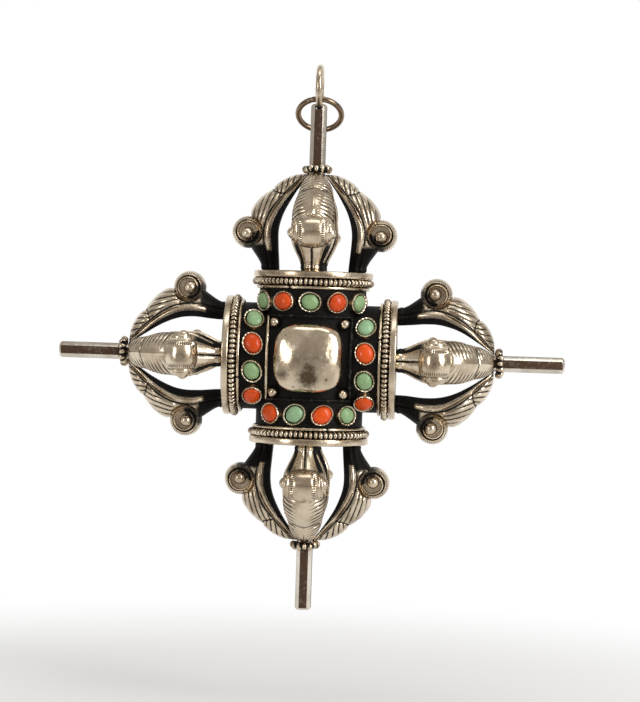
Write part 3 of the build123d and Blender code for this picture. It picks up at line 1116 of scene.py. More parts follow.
def bead_row(name, count, radius, height, bead, core, sway_by):
    """Wire with beads on it round the arm. A bead is its half width, half depth and half height."""
    dice = np.random.RandomState(count)
    deselect()
    bpy.ops.mesh.primitive_torus_add(
        major_segments=CORE_TURNS,
        minor_segments=WIRE_SIDES,
        major_radius=radius,
        minor_radius=core,
        location=(0.0, 0.0, height),
    )
    wire = take(f"{name}_core")
    stain(wire, np.ones(len(wire.data.vertices)))
    ball = ball_grid(f"{name}_bead", BEAD_RINGS, BEAD_SEGMENTS)[0]
    xyz = points(ball)
    cleft = ease((np.abs(xyz[:, 1]) - CLEFT_START) / CLEFT_FADE)
    inner_side = ease((INNER_SIDE_START - xyz[:, 0]) / INNER_SIDE_FADE)
    stain(ball, darkest(cleft, inner_side))
    pieces = [wire]
    for index in range(count):
        sway = dice.uniform(-1.0, 1.0, 4) * sway_by
        turn = Matrix.Rotation(2.0 * pi * (index + 0.5) / count, 4, "Z")
        spot = Matrix.Translation((radius, sway[0] * bead[0], height + sway[1] * bead[2]))
        shape = Matrix.Diagonal((bead[1], bead[0] * (1.0 + sway[2]), bead[2] * (1.0 - abs(sway[3])), 1.0))
        pieces.append(twin(ball, f"{name}_bead_{index}", turn @ spot @ shape))
    discard(ball)
    row = join(pieces, name)
    close_up(row, BEAD_CRISP)
    return row


class GHAU_OT_bead_wires(bpy.types.Operator):
    """Beaded wire at each drum's mouth"""

    bl_idname = "ghau.bead_wires"
    bl_label = "Bead wires"

    def execute(self, context):
        half = (BEAD_HIGH - BEAD_LOW) / 2.0
        radius = BEAD_RADIUS - half
        count = sizes().beads
        bead = (WIRE_BEAD_WIDTH * 2.0 * pi * radius / count, half, WIRE_BEAD_HEIGHT * half)
        model = bead_row("bead_wire", count, radius, BEAD_LOW + half, bead, WIRE_CORE * half, WIRE_SWAY)
        settle_arms(model, "bead_wire", worn_silver())
        return {"FINISHED"}


class GHAU_OT_collars(bpy.types.Operator):
    """Beaded collar at each arm's tip"""

    bl_idname = "ghau.collars"
    bl_label = "Collars"

    def execute(self, context):
        inner = ROD_HALF + FIT_CLEARANCE
        half = (COLLAR_RADIUS - inner) / 2.0
        half_height = (COLLAR_HIGH - COLLAR_LOW) / 2.0
        radius = inner + half
        count = sizes().collar_beads
        bead = (COLLAR_BEAD_WIDTH * 2.0 * pi * radius / count, half, COLLAR_BEAD_HEIGHT * half_height)
        middle = COLLAR_LOW + half_height
        model = bead_row("collar", count, radius, middle, bead, COLLAR_CORE * half, COLLAR_SWAY)
        settle_arms(model, "tip_collar", worn_silver())
        return {"FINISHED"}


class GHAU_OT_drum_wires(bpy.types.Operator):
    """Plain wire beside each beaded one, with the cut where its ends meet"""

    bl_idname = "ghau.drum_wires"
    bl_label = "Drum wires"

    def execute(self, context):
        half = (WIRE_HIGH - WIRE_LOW) / 2.0
        piece, around, across = hoop_grid("drum_wire", DRUM_WIRE_TURNS, WIRE_SIDES)
        cut = bump(around - WIRE_CUT_ANGLE, WIRE_CUT_WIDTH)
        girth = half * (1.0 - WIRE_CUT_DEPTH * cut)
        from_axis = SEAT_RADIUS + half + girth * np.cos(across)
        place(
            piece,
            from_axis * np.cos(around),
            from_axis * np.sin(around),
            WIRE_LOW + half + girth * np.sin(across),
        )
        stain(piece, darkest(cut, seat_side(across)))
        close_up(piece)
        settle_arms(piece, "drum_wire", worn_silver())
        return {"FINISHED"}


SPIGOT_RADIUS = 8.56 * MM
SPIGOT_WALL = 0.8 * MM
TENON_HOLE = 0.94 * MM
DISC_FACETS = 144
DISC_ROUND = 0.28 * MM
DISC_ROUND_STEPS = 4
DISC_STAIN = 0.6
DISC_RIM_STAIN = 0.2


def over_tenon(middle, normal):
    """Test for the faces that close the tenon's hole."""
    return abs(normal.z) > FACING and middle.xy.length < TENON_HOLE / 2.0


def on_rim(first, last):
    """Test for the edges round the disc's rim, above and below."""
    outside = min(first.xy.length, last.xy.length) > DISC_RADIUS - NEAR
    return outside and abs(first.z - last.z) < NEAR


class GHAU_OT_discs(bpy.types.Operator):
    """End disc of each arm, with its rounded rim, its spigot and a hole for the rod's tenon"""

    bl_idname = "ghau.discs"
    bl_label = "End discs"

    def execute(self, context):
        deselect()
        bpy.ops.mesh.primitive_cylinder_add(
            vertices=DISC_FACETS,
            radius=DISC_RADIUS,
            depth=DISC_THICKNESS,
            location=(0.0, 0.0, DRUM_REACH + DISC_THICKNESS / 2.0),
        )
        disc = take("end_disc")
        pick_faces(disc, lambda middle, normal: normal.z < -FACING)
        bpy.ops.mesh.inset(thickness=DISC_RADIUS - SPIGOT_RADIUS)
        push(-SPIGOT_LENGTH)
        bpy.ops.mesh.inset(thickness=SPIGOT_WALL)
        push(SPIGOT_LENGTH)
        bpy.ops.mesh.inset(thickness=SPIGOT_RADIUS - SPIGOT_WALL - TENON_HOLE)
        pick_faces(disc, lambda middle, normal: normal.z > FACING and middle.z > DISC_FACE - NEAR)
        bpy.ops.mesh.inset(thickness=DISC_RADIUS - TENON_HOLE)
        pick_faces(disc, over_tenon)
        bpy.ops.mesh.bridge_edge_loops()
        pick_edges(disc, on_rim)
        bpy.ops.mesh.bevel(offset=DISC_ROUND, segments=DISC_ROUND_STEPS, affect="EDGES")
        close_edit()
        xyz = points(disc)
        from_axis = np.hypot(xyz[:, 0], xyz[:, 1])
        inside = from_axis < DISC_RADIUS - 2.0 * DISC_ROUND
        stain(disc, np.where(inside, DISC_STAIN, DISC_RIM_STAIN))
        close_up(disc, DISC_CRISP)
        settle_arms(disc, "end_disc", worn_silver())
        return {"FINISHED"}


# Rods

ROD_CHAMFER = 0.7 * MM
ROD_END_CHAMFER = 0.35 * MM
ROD_ARRIS = 0.09 * MM
ROD_ARRIS_SHARP = radians(20.0)
# Black on the rod: on its flats, and inside the cage
ROD_FLAT_STAIN = 0.71
ROD_FLAT_BAND = 0.02 * MM
CAGE_STAIN = 0.6
CAGE_STAIN_FADE = 0.5 * MM
TENON_INSET = 0.6 * MM
LOOP_SINK = 0.9 * MM
LOOP_WIRE = 0.6 * MM


def rod_bar():
    """Square bar with its long edges taken off, its end eased and a tenon at its foot."""
    length = ROD_END - DISC_FACE
    deselect()
    bpy.ops.mesh.primitive_cube_add(
        size=1.0,
        location=(0.0, 0.0, DISC_FACE + length / 2.0),
        scale=(2.0 * ROD_HALF, 2.0 * ROD_HALF, length),
    )
    bar = take("rod")
    pick_edges(bar, lambda first, last: abs(first.z - last.z) > length / 2.0)
    bpy.ops.mesh.bevel(offset=ROD_CHAMFER, segments=1, affect="EDGES")
    pick_edges(bar, lambda first, last: min(first.z, last.z) > ROD_END - NEAR)
    bpy.ops.mesh.bevel(offset=ROD_END_CHAMFER, segments=1, affect="EDGES")
    bpy.ops.mesh.select_all(action="DESELECT")
    bpy.ops.mesh.edges_select_sharp(sharpness=ROD_ARRIS_SHARP)
    bpy.ops.mesh.bevel(offset=ROD_ARRIS, segments=2, affect="EDGES")
    pick_faces(bar, lambda middle, normal: normal.z < -FACING)
    bpy.ops.mesh.inset(thickness=TENON_INSET - ROD_ARRIS)
    push(-DISC_THICKNESS)
    close_edit()
    return bar


def slot_tool():
    """Cutter for the slot that takes the hanging loop."""
    deselect()
    bpy.ops.mesh.primitive_cube_add(
        size=2.0,
        location=(0.0, 0.0, ROD_END),
        scale=(LOOP_WIRE + SOLDER_GAP, 2.0 * ROD_HALF, LOOP_SINK + SOLDER_GAP),
    )
    return take("slot_tool")


class GHAU_OT_rods(bpy.types.Operator):
    """Square bar with eased edges through each arm; the top one is slotted for the hanging loop"""

    bl_idname = "ghau.rods"
    bl_label = "Rods"

    def execute(self, context):
        model = rod_bar()
        for arm in ARM_TURNS:
            node = f"{arm}_rod"
            piece = twin(model, f"{node}_worked", arm_turn(arm))
            if arm == "top":
                carve(piece, slot_tool(), "DIFFERENCE")
            xyz = points(piece) @ np.array(arm_turn(arm).to_3x3())
            flat = np.max(np.abs(xyz[:, :2]), axis=1) > ROD_HALF - ROD_FLAT_BAND
            in_cage = 1.0 - ease((xyz[:, 2] - COLLAR_LOW) / CAGE_STAIN_FADE)
            stain(piece, darkest(ROD_FLAT_STAIN * flat, CAGE_STAIN * in_cage))
            close_up(piece, ROD_CRISP)
            settle(piece, node, brown_silver())
        discard(model)
        return {"FINISHED"}


# Boss, frame wires and granules on each face of the box

BOSS_DOME_RADIUS = 11.0 * MM
BOSS_ROUND = 2.0 * MM
BOSS_FOOT = 5.0 * MM
BOSS_SQUARENESS = 3.0
# How the boss goes from a round top to a square foot
BOSS_SQUARING = 1.5
BOSS_SEGMENTS = 96
BOSS_DOME_STEPS = 26
BOSS_ROUND_STEPS = 16
BOSS_WALL_STEPS = 10
BOSS_DENT_PITCH = 2.6 * MM
# Black on the boss's wall: height at which it starts, and over how much it fades
BOSS_BLACK_HEIGHT = 10.6 * MM
BOSS_BLACK_FADE = 1.6 * MM
PIT_STAIN = 0.9
FRAME_WIRE = 0.28 * MM
FRAME_RINGS = 62
FRAME_BRIGHT_ARM = "left"
FRAME_STAIN = 0.72
FRAME_END_STAIN = 0.6
GRANULE_RADIUS = 0.85 * MM
GRANULE_FINENESS = 4
GRANULE_BLACK_DEPTH = 0.2 * MM
GRANULE_BLACK_FADE = 0.6 * MM
GRANULE_UNEVEN = 0.07 * MM
GRANULE_UNEVEN_PITCH = 0.8 * MM
# Small dark pits in the boss: place to the right and up from its middle, and size
BOSS_PITS = (
    (3.4 * MM, -3.6 * MM, 0.3 * MM),
    (-2.3 * MM, -5.0 * MM, 0.24 * MM),
    (-4.0 * MM, 3.9 * MM, 0.2 * MM),
    (-3.2 * MM, -2.0 * MM, 0.16 * MM),
    (4.6 * MM, -1.3 * MM, 0.14 * MM),
)
# Brown patches on the boss: place to the right and up from its middle, size and depth. The two low in the
# middle are a painted reflection of dark surroundings, the one at the lower left a brown film
BOSS_REFLECTION_AND_FILM = (
    (0.4 * MM, -1.8 * MM, 2.1 * MM, 0.68),
    (0.3 * MM, -3.3 * MM, 2.5 * MM, 0.78),
    (-4.4 * MM, -2.8 * MM, 1.7 * MM, 0.58),
)


def boss_path():
    """Half profile of the boss from its top to its foot: distances from its middle, and heights."""
    centre = BOSS_TOP - BOSS_DOME_RADIUS
    inner_radius = BOSS_DOME_RADIUS - BOSS_ROUND
    edge_centre = BOSS_HALF - BOSS_ROUND
    edge_height = centre + sqrt(inner_radius**2 - edge_centre**2)
    meet = asin(edge_centre / inner_radius)
    dome = np.linspace(0.0, meet, BOSS_DOME_STEPS)
    edge = np.linspace(meet, pi / 2.0, BOSS_ROUND_STEPS)[1:]
    wall = np.linspace(edge_height, BOSS_FOOT, BOSS_WALL_STEPS)[1:]
    dome_out = BOSS_DOME_RADIUS * np.sin(dome)
    dome_up = centre + BOSS_DOME_RADIUS * np.cos(dome)
    edge_out = edge_centre + BOSS_ROUND * np.sin(edge)
    edge_up = edge_height + BOSS_ROUND * np.cos(edge)
    out = np.concatenate([dome_out, edge_out, np.full_like(wall, BOSS_HALF)])
    return out, np.concatenate([dome_up, edge_up, wall])


class GHAU_OT_bosses(bpy.types.Operator):
    """Domed boss of sheet silver over the crossing of the drums, with soft dents"""

    bl_idname = "ghau.bosses"
    bl_label = "Bosses"

    def execute(self, context):
        out, up = boss_path()
        piece, ring, around = ball_grid("boss", len(out), BOSS_SEGMENTS)
        step = np.minimum(ring, len(out) - 1).astype(int)
        radius = np.where(ring < len(out), out[step], 0.0)
        power = BOSS_SQUARENESS
        square = (np.abs(np.cos(around)) ** power + np.abs(np.sin(around)) ** power) ** (-1.0 / power)
        radius = radius * mix(1.0, square, (radius / BOSS_HALF) ** BOSS_SQUARING)
        x = radius * np.cos(around)
        z = radius * np.sin(around)
        place(piece, x, -up[step], z)
        rough_up(piece, sizes().dent, BOSS_DENT_PITCH, seed=11.0)
        spots = [(*pit, PIT_STAIN) for pit in BOSS_PITS]
        # The painted reflection and the brown film darken the boss like its pits
        spots.extend(BOSS_REFLECTION_AND_FILM)
        black = [ease((BOSS_BLACK_HEIGHT - up[step]) / BOSS_BLACK_FADE)]
        for right, over, size, depth in spots:
            black.append(depth * bump(np.hypot(x - right, z - over), size))
        stain(piece, darkest(*black))
        close_up(piece)
        sit_on_drums(piece)
        close_up(piece)
        settle_faces(piece, "boss", boss_silver())
        return {"FINISHED"}


def frame_side():
    """One wire across the front of the upright drum, with mitred ends."""
    piece, ring, around = ball_grid("frame_side", FRAME_RINGS, WIRE_SIDES)
    middle = FRAME_OUTSIDE - FRAME_WIRE
    reach = middle + FRAME_WIRE * np.sin(around)
    from_axis = SEAT_RADIUS + FRAME_WIRE + FRAME_WIRE * np.cos(around)
    pole = (ring == 0.0) | (ring == FRAME_RINGS)
    reach = np.where(pole, middle, reach)
    from_axis = np.where(pole, SEAT_RADIUS + FRAME_WIRE, from_axis)
    share = np.clip((ring - 1.0) / (FRAME_RINGS - 2.0), 0.0, 1.0) * 2.0 - 1.0
    angle = share * np.arcsin(reach / from_axis)
    place(piece, from_axis * np.sin(angle), -from_axis * np.cos(angle), reach)
    stain(piece, np.where(pole, FRAME_END_STAIN, seat_side(around)))
    return piece


class GHAU_OT_frame_wires(bpy.types.Operator):
    """Thin wires that frame each boss"""

    bl_idname = "ghau.frame_wires"
    bl_label = "Frame wires"

    def execute(self, context):
        model = frame_side()
        sides = []
        for arm in ARM_TURNS:
            side = twin(model, f"{arm}_side", arm_turn(arm))
            if arm != FRAME_BRIGHT_ARM:
                stain(side, np.maximum(read_layer(side, "patina"), FRAME_STAIN))
            sides.append(side)
        piece = join(sides, "frame_wire")
        discard(model)
        close_up(piece)
        settle_faces(piece, "frame_wire", worn_silver())
        return {"FINISHED"}


class GHAU_OT_granules(bpy.types.Operator):
    """Silver granules in the valleys beside each boss"""

    bl_idname = "ghau.granules"
    bl_label = "Granules"

    def execute(self, context):
        reach = GRANULE_OUTSIDE - GRANULE_RADIUS
        depth = GRANULE_FRONT - GRANULE_RADIUS
        balls = []
        for arm in ARM_TURNS:
            deselect()
            bpy.ops.mesh.primitive_ico_sphere_add(
                subdivisions=GRANULE_FINENESS, radius=GRANULE_RADIUS, location=(reach, -depth, reach)
            )
            ball = take("granule")
            below = depth - GRANULE_BLACK_DEPTH + points(ball)[:, 1]
            stain(ball, ease(below / GRANULE_BLACK_FADE))
            ball.data.transform(arm_turn(arm))
            balls.append(ball)
        piece = join(balls, "granules")
        rough_up(piece, GRANULE_UNEVEN, GRANULE_UNEVEN_PITCH, seed=5.0)
        close_up(piece)
        settle_faces(piece, "granules", worn_silver())
        return {"FINISHED"}


# Stones in their bezels

STONE_REACH = (FRAME_OUTSIDE + WIRE_LOW) / 2.0
BEZEL_MARGIN = 0.34 * MM
BEZEL_HALF_LENGTH = 2.15 * MM
BEZEL_HALF_WIDTH = (WIRE_LOW - FRAME_OUTSIDE) / 2.0 - BEZEL_MARGIN
BEZEL_SPACING = 0.26 * MM
BEZEL_WALL = 0.36 * MM
BEZEL_TOP = DRUM_RADIUS + 1.0 * MM
SEAT_BOTTOM = DRUM_RADIUS - 0.9 * MM
STONE_GIRDLE = DRUM_RADIUS + 0.55 * MM
STONE_DOME = 0.95 * MM
TOOTH_DEPTH = 0.1 * MM
TOOTH_STEPS = 6
TOOTH_BAND = 0.3 * MM
TOOTH_BAND_FADE = 0.15 * MM
# Black on a bezel: between the teeth, inside and low down
TOOTH_STAIN = 0.4
CUP_INSIDE = 0.3 * MM
CUP_INSIDE_FADE = 0.06 * MM
CUP_LOW_STAIN = 0.8
CUP_LOW = 0.45 * MM
CUP_LOW_FADE = 0.3 * MM
CUP_UNEVEN = 0.05 * MM
CUP_UNEVEN_PITCH = 1.2 * MM
CABOCHON_RINGS = 20
CABOCHON_DOME_RINGS = 16
CABOCHON_SEGMENTS = 40
CABOCHON_FULLNESS = 0.85
# How the stones and their bezels differ: turn, size, place and height, and unevenness
DICE_SEED = 7
DICE_THROWS = 6
STONE_SWAY = 0.6
CUP_SIZE = 0.97
STONE_SIZE = {"C": 0.97, "T": 0.9}
SIZE_SWAY = 0.03
PLACE_SWAY = 0.03 * MM
HEIGHT_SWAY = 0.05 * MM
STONE_UNEVEN = {"C": 0.06 * MM, "T": 0.12 * MM}
STONE_UNEVEN_PITCH = 1.1 * MM
STONE_PITCH = (2.0 * BEZEL_HALF_LENGTH + BEZEL_SPACING) / DRUM_RADIUS
# Section of a bezel's wall: distances in from its outside and down from its top
BEZEL_SECTION = (
    (0.02 * MM, 0.35 * MM),
    (0.02 * MM, 0.12 * MM),
    (0.12 * MM, 0.0),
    (0.26 * MM, 0.04 * MM),
    (0.36 * MM, 0.18 * MM),
    (0.36 * MM, 0.4 * MM),
)


def seats():
    """Every stone's kind, its turn to its seat and its own dice, row by row."""
    dice = np.random.RandomState(DICE_SEED)
    for arm, (middle, row) in STONE_ROWS.items():
        for index, kind in enumerate(row):
            angle = radians(middle) + (index - (len(row) - 1) / 2.0) * STONE_PITCH
            turn = arm_turn(arm) @ Matrix.Rotation(angle, 4, "Z")
            turn = turn @ Matrix.Translation((0.0, 0.0, STONE_REACH)) @ Matrix.Rotation(pi / 2.0, 4, "X")
            yield kind, turn, dice.uniform(-1.0, 1.0, DICE_THROWS)


def own_size(dice, size):
    """A stone's own turn in its seat, and its own length and width."""
    scale = Matrix.Diagonal((size + SIZE_SWAY * dice[1], size + SIZE_SWAY * dice[2], 1.0, 1.0))
    return Matrix.Rotation(STONE_SWAY * dice[0], 4, "Z") @ scale


def bezel_model():
    """Cup wall for one stone, along +Z: an oval hoop with a toothed rim."""
    section = np.array(BEZEL_SECTION)
    inset = np.concatenate([[section[0, 0]], section[:, 0], [section[-1, 0]]])
    height = np.concatenate([[SEAT_BOTTOM], BEZEL_TOP - section[:, 1], [SEAT_BOTTOM]])
    count = len(inset)
    teeth = sizes().bezel_teeth
    piece, around, across = hoop_grid("bezel", TOOTH_STEPS * teeth, count)
    step = np.rint((across % (2.0 * pi)) / (2.0 * pi) * count).astype(int) % count
    toothed = ease((height[step] - BEZEL_TOP + TOOTH_BAND) / TOOTH_BAND_FADE)
    tooth = marks(teeth * around / (2.0 * pi)) * toothed
    place(
        piece,
        (BEZEL_HALF_LENGTH - inset[step]) * np.cos(around),
        (BEZEL_HALF_WIDTH - inset[step]) * np.sin(around),
        height[step] - TOOTH_DEPTH * tooth,
    )
    inside = ease((inset[step] - CUP_INSIDE) / CUP_INSIDE_FADE) * (1.0 - toothed)
    low = ease((BEZEL_TOP - CUP_LOW - height[step]) / CUP_LOW_FADE)
    stain(piece, darkest(TOOTH_STAIN * tooth, inside, CUP_LOW_STAIN * low))
    close_up(piece, CUP_CRISP)
    return piece


class GHAU_OT_bezels(bpy.types.Operator):
    """Toothed bezel round every stone"""

    bl_idname = "ghau.bezels"
    bl_label = "Bezels"

    def execute(self, context):
        model = bezel_model()
        cups = []
        for number, (kind, turn, dice) in enumerate(seats()):
            cup = twin(model, f"bezel_{number}", turn @ own_size(dice, CUP_SIZE))
            rough_up(cup, CUP_UNEVEN, CUP_UNEVEN_PITCH, seed=9.0)
            sit_on_drums(cup)
            cups.append(cup)
        discard(model)
        piece = join(cups, "bezels")
        close_up(piece, CUP_CRISP)
        settle_faces(piece, "bezels", worn_silver())
        return {"FINISHED"}


def cabochon():
    """Oval stone with a full domed top, along +Z."""
    piece, ring, around = ball_grid("cabochon", CABOCHON_RINGS, CABOCHON_SEGMENTS)
    rise = np.clip(ring / CABOCHON_DOME_RINGS, 0.0, 1.0) * pi / 2.0
    out = np.where(ring == CABOCHON_RINGS, 0.0, np.sin(rise))
    wall_rings = CABOCHON_RINGS - 1.0 - CABOCHON_DOME_RINGS
    drop = np.clip((ring - CABOCHON_DOME_RINGS) / wall_rings, 0.0, 1.0)
    dome = STONE_DOME * np.clip(np.cos(rise), 0.0, 1.0) ** CABOCHON_FULLNESS
    place(
        piece,
        (BEZEL_HALF_LENGTH - BEZEL_WALL - FIT_CLEARANCE) * out * np.cos(around),
        (BEZEL_HALF_WIDTH - BEZEL_WALL - FIT_CLEARANCE) * out * np.sin(around),
        mix(STONE_GIRDLE, SEAT_BOTTOM, drop) + dome,
    )
    close_up(piece)
    return piece


class GHAU_OT_stones(bpy.types.Operator):
    """Coral and turquoise cabochons, each a little different"""

    bl_idname = "ghau.stones"
    bl_label = "Stones"

    def execute(self, context):
        model = cabochon()
        stones = {"C": [], "T": []}
        for number, (kind, turn, dice) in enumerate(seats()):
            spot = (PLACE_SWAY * dice[3], PLACE_SWAY * dice[4], HEIGHT_SWAY * dice[5])
            sway = Matrix.Translation(spot) @ own_size(dice, STONE_SIZE[kind])
            stone = twin(model, f"stone_{number}", turn @ sway)
            rough_up(stone, STONE_UNEVEN[kind], STONE_UNEVEN_PITCH, seed=2.0)
            sit_on_drums(stone)
            tone(stone, 0.5 + 0.5 * dice[3])
            stones[kind].append(stone)
        discard(model)
        for kind, part, finish in (
            ("C", "coral_stones", coral_finish()),
            ("T", "turquoise_stones", turquoise_finish()),
        ):
            piece = join(stones[kind], part)
            close_up(piece, CUP_CRISP)
            settle_faces(piece, part, finish)
        return {"FINISHED"}


# Loop, ring and box

HOOP_TURNS = 120
HOOP_SIDES = 24
# Crease where the loop's wire was closed
LOOP_CREASE_TOP = radians(-20.0)
LOOP_CREASE_FADE = 0.3
LOOP_CREASE_WIDTH = 0.3
LOOP_CREASE_DEPTH = 0.2
LOOP_CREASE_STAIN = 0.75
LOOP_UNEVEN = 0.05 * MM
LOOP_UNEVEN_PITCH = 1.3 * MM
SLOT_STAIN = 0.5
SLOT_STAIN_RISE = 0.5 * MM
SLOT_STAIN_FADE = 0.9 * MM
RING_WIRE = 0.52 * MM
RING_LEAN = radians(50.0)
RING_CLEARANCE = 0.15 * MM
# Joint where the ring's ends meet
JOINT_ANGLE = radians(112.0)
JOINT_WIDTH = 0.05
JOINT_DEPTH = 0.12
JOINT_STAIN = 0.4


class GHAU_OT_hanging_loop(bpy.types.Operator):
    """Fixed loop in the top rod's slot, with the crease where its wire was closed"""

    bl_idname = "ghau.hanging_loop"
    bl_label = "Hanging loop"

    def execute(self, context):
        radius = (LOOP_BOX[1].z - LOOP_BOX[0].z) / 2.0 - LOOP_WIRE
        centre = (LOOP_BOX[1].z + LOOP_BOX[0].z) / 2.0
        piece, around, across = hoop_grid("hanging_loop", HOOP_TURNS, HOOP_SIDES)
        low = ease((sin(LOOP_CREASE_TOP) - np.sin(around)) / LOOP_CREASE_FADE)
        crease = bump(across, LOOP_CREASE_WIDTH) * low
        girth = LOOP_WIRE * (1.0 - LOOP_CREASE_DEPTH * crease)
        out = radius + girth * np.cos(across)
        place(piece, girth * np.sin(across), -out * np.cos(around), centre + out * np.sin(around))
        rough_up(piece, LOOP_UNEVEN, LOOP_UNEVEN_PITCH, seed=4.0, axes=(1.0, 0.4, 0.0))
        in_slot = ease((ROD_END + SLOT_STAIN_RISE - points(piece)[:, 2]) / SLOT_STAIN_FADE)
        stain(piece, darkest(LOOP_CREASE_STAIN * crease, SLOT_STAIN * in_slot))
        close_up(piece)
        settle(piece, "hanging_loop", worn_silver())
        piece.name = "hanging_loop_worked"
        return {"FINISHED"}


class GHAU_OT_jump_ring(bpy.types.Operator):
    """Loose tarnished ring, with the joint where its ends meet"""

    bl_idname = "ghau.jump_ring"
    bl_label = "Jump ring"

    def execute(self, context):
        radius = RING_BOX[1].x - RING_WIRE
        hinge = LOOP_BOX[0].z + 2.0 * LOOP_WIRE + RING_CLEARANCE + RING_WIRE
        piece, around, across = hoop_grid("jump_ring", HOOP_TURNS, HOOP_SIDES)
        joint = bump(around - JOINT_ANGLE, JOINT_WIDTH)
        girth = RING_WIRE * (1.0 - JOINT_DEPTH * joint)
        out = radius + girth * np.cos(across)
        place(piece, out * np.cos(around), girth * np.sin(across), out * np.sin(around) - radius)
        piece.data.transform(Matrix.Translation((0.0, 0.0, hinge)) @ Matrix.Rotation(RING_LEAN, 4, "X"))
        stain(piece, JOINT_STAIN * joint)
        close_up(piece)
        settle(piece, "jump_ring", bronzed_silver())
        piece.name = "jump_ring_worked"
        return {"FINISHED"}


class GHAU_OT_box(bpy.types.Operator):
    """Blackened finish of the box itself"""

    bl_idname = "ghau.box"
    bl_label = "Box"

    def execute(self, context):
        held = frame["nodes"]["hub_shell"]
        held.data.materials.clear()
        held.data.materials.append(black_silver())
        return {"FINISHED"}


# Stage

BACKDROP_DISTANCE = 1.1
FLOOR_HALF = 1.5
BACKDROP_HEIGHT = 1.4
SWEEP_RADIUS = 0.25
SWEEP_STEPS = 24
SHEET_NEAR = 0.01
SENSOR = 36.0
# Each lamp's width, height and place
LAMPS = {
    "key": (0.2, 0.42, (0.44, -0.34, 0.2)),
    "fill": (0.14, 0.2, (-0.4, -0.44, 0.06)),
    "top": (0.4, 0.2, (0.05, -0.16, 0.58)),
}
# The room that the silver mirrors, from low to high
ROOM_RANGE = (-0.35, 0.32)
ROOM_LOW = (0.10, 0.08, 0.065)
ROOM_HIGH = (0.46, 0.44, 0.41)
# Paper: dull in front, pale behind, and white from a distance on
PAPER_GLOSS = {"Roughness": 0.9, "Specular IOR Level": 0.1}
PAPER_DULL = (0.42, 0.40, 0.38)
PAPER_PALE = (0.86, 0.86, 0.86)
BEHIND_RANGE = (-0.2, -0.015)
FAR_RANGE = (0.066, 0.17)
FAR_WHITE = (0.3, 1.0)


def set_camera(stage):
    """The photograph's viewpoint: nearly face-on, a little from the right and above, and rolled."""
    lens = bpy.data.cameras.new("camera")
    lens.lens = stage.lens
    lens.sensor_width = SENSOR
    camera = bpy.data.objects.new("camera", lens)
    turn = Matrix.Rotation(stage.azimuth, 4, "Z") @ Matrix.Rotation(pi / 2.0 - stage.elevation, 4, "X")
    turn = turn @ Matrix.Rotation(stage.roll, 4, "Z")
    camera.matrix_world = turn @ Matrix.Translation((stage.aside, stage.above, stage.distance))
    bpy.context.scene.collection.objects.link(camera)
    bpy.context.scene.camera = camera


def add_lamp(name, power, width, height, spot):
    """Soft panel aimed at the hub."""
    lamp = bpy.data.lights.new(name, "AREA")
    lamp.energy = power
    lamp.shape = "RECTANGLE"
    lamp.size = width
    lamp.size_y = height
    holder = bpy.data.objects.new(name, lamp)
    holder.location = spot
    holder.rotation_euler = Vector(spot).to_track_quat("Z", "Y").to_euler()
    bpy.context.scene.collection.objects.link(holder)


def set_lights(stage):
    """Three soft lamps, and a plain room that is darker below."""
    for name, (width, height, spot) in LAMPS.items():
        add_lamp(name, getattr(stage, name), width, height, spot)
    world = bpy.data.worlds.new("room")
    world.use_nodes = True
    tree = world.node_tree
    direction = add(tree, "ShaderNodeTexCoord").outputs["Generated"]
    split = add(tree, "ShaderNodeSeparateXYZ")
    link(tree, direction, split.inputs["Vector"])
    level = spread(tree, split.outputs["Z"], *ROOM_RANGE)
    shade = blend(tree, level, ROOM_LOW, ROOM_HIGH)
    link(tree, shade, tree.nodes["Background"].inputs["Color"])
    bpy.context.scene.world = world


def pale_finish():
    """Pale paper: shaded near the object, white far off behind it, dull in front, clear from beneath."""
    finish, tree, shader = new_finish("pale paper")
    for label, value in PAPER_GLOSS.items():
        shader.inputs[label].default_value = value
    coords = add(tree, "ShaderNodeTexCoord").outputs["Object"]
    split = add(tree, "ShaderNodeSeparateXYZ")
    link(tree, coords, split.inputs["Vector"])
    behind = spread(tree, split.outputs["Y"], *BEHIND_RANGE)
    link(tree, blend(tree, behind, PAPER_DULL, PAPER_PALE), shader.inputs["Base Color"])
    length = add(tree, "ShaderNodeVectorMath", operation="LENGTH")
    link(tree, coords, length.inputs[0])
    far = spread(tree, length.outputs["Value"], *FAR_RANGE, *FAR_WHITE)
    path = add(tree, "ShaderNodeLightPath").outputs
    seen = calc(tree, "MAXIMUM", path["Is Camera Ray"], path["Is Glossy Ray"])
    seen = calc(tree, "MAXIMUM", seen, path["Is Transmission Ray"])
    glow = add(tree, "ShaderNodeEmission")
    both = add(tree, "ShaderNodeMixShader")
    share = calc(tree, "MULTIPLY", calc(tree, "MULTIPLY", far, behind), seen)
    link(tree, share, both.inputs["Fac"])
    link(tree, shader.outputs["BSDF"], both.inputs[1])
    link(tree, glow.outputs["Emission"], both.inputs[2])
    sheet = add(tree, "ShaderNodeMixShader")
    link(tree, add(tree, "ShaderNodeNewGeometry").outputs["Backfacing"], sheet.inputs["Fac"])
    link(tree, both.outputs["Shader"], sheet.inputs[1])
    link(tree, add(tree, "ShaderNodeBsdfTransparent").outputs["BSDF"], sheet.inputs[2])
    link(tree, sheet.outputs["Shader"], tree.nodes["Material Output"].inputs["Surface"])
    return finish


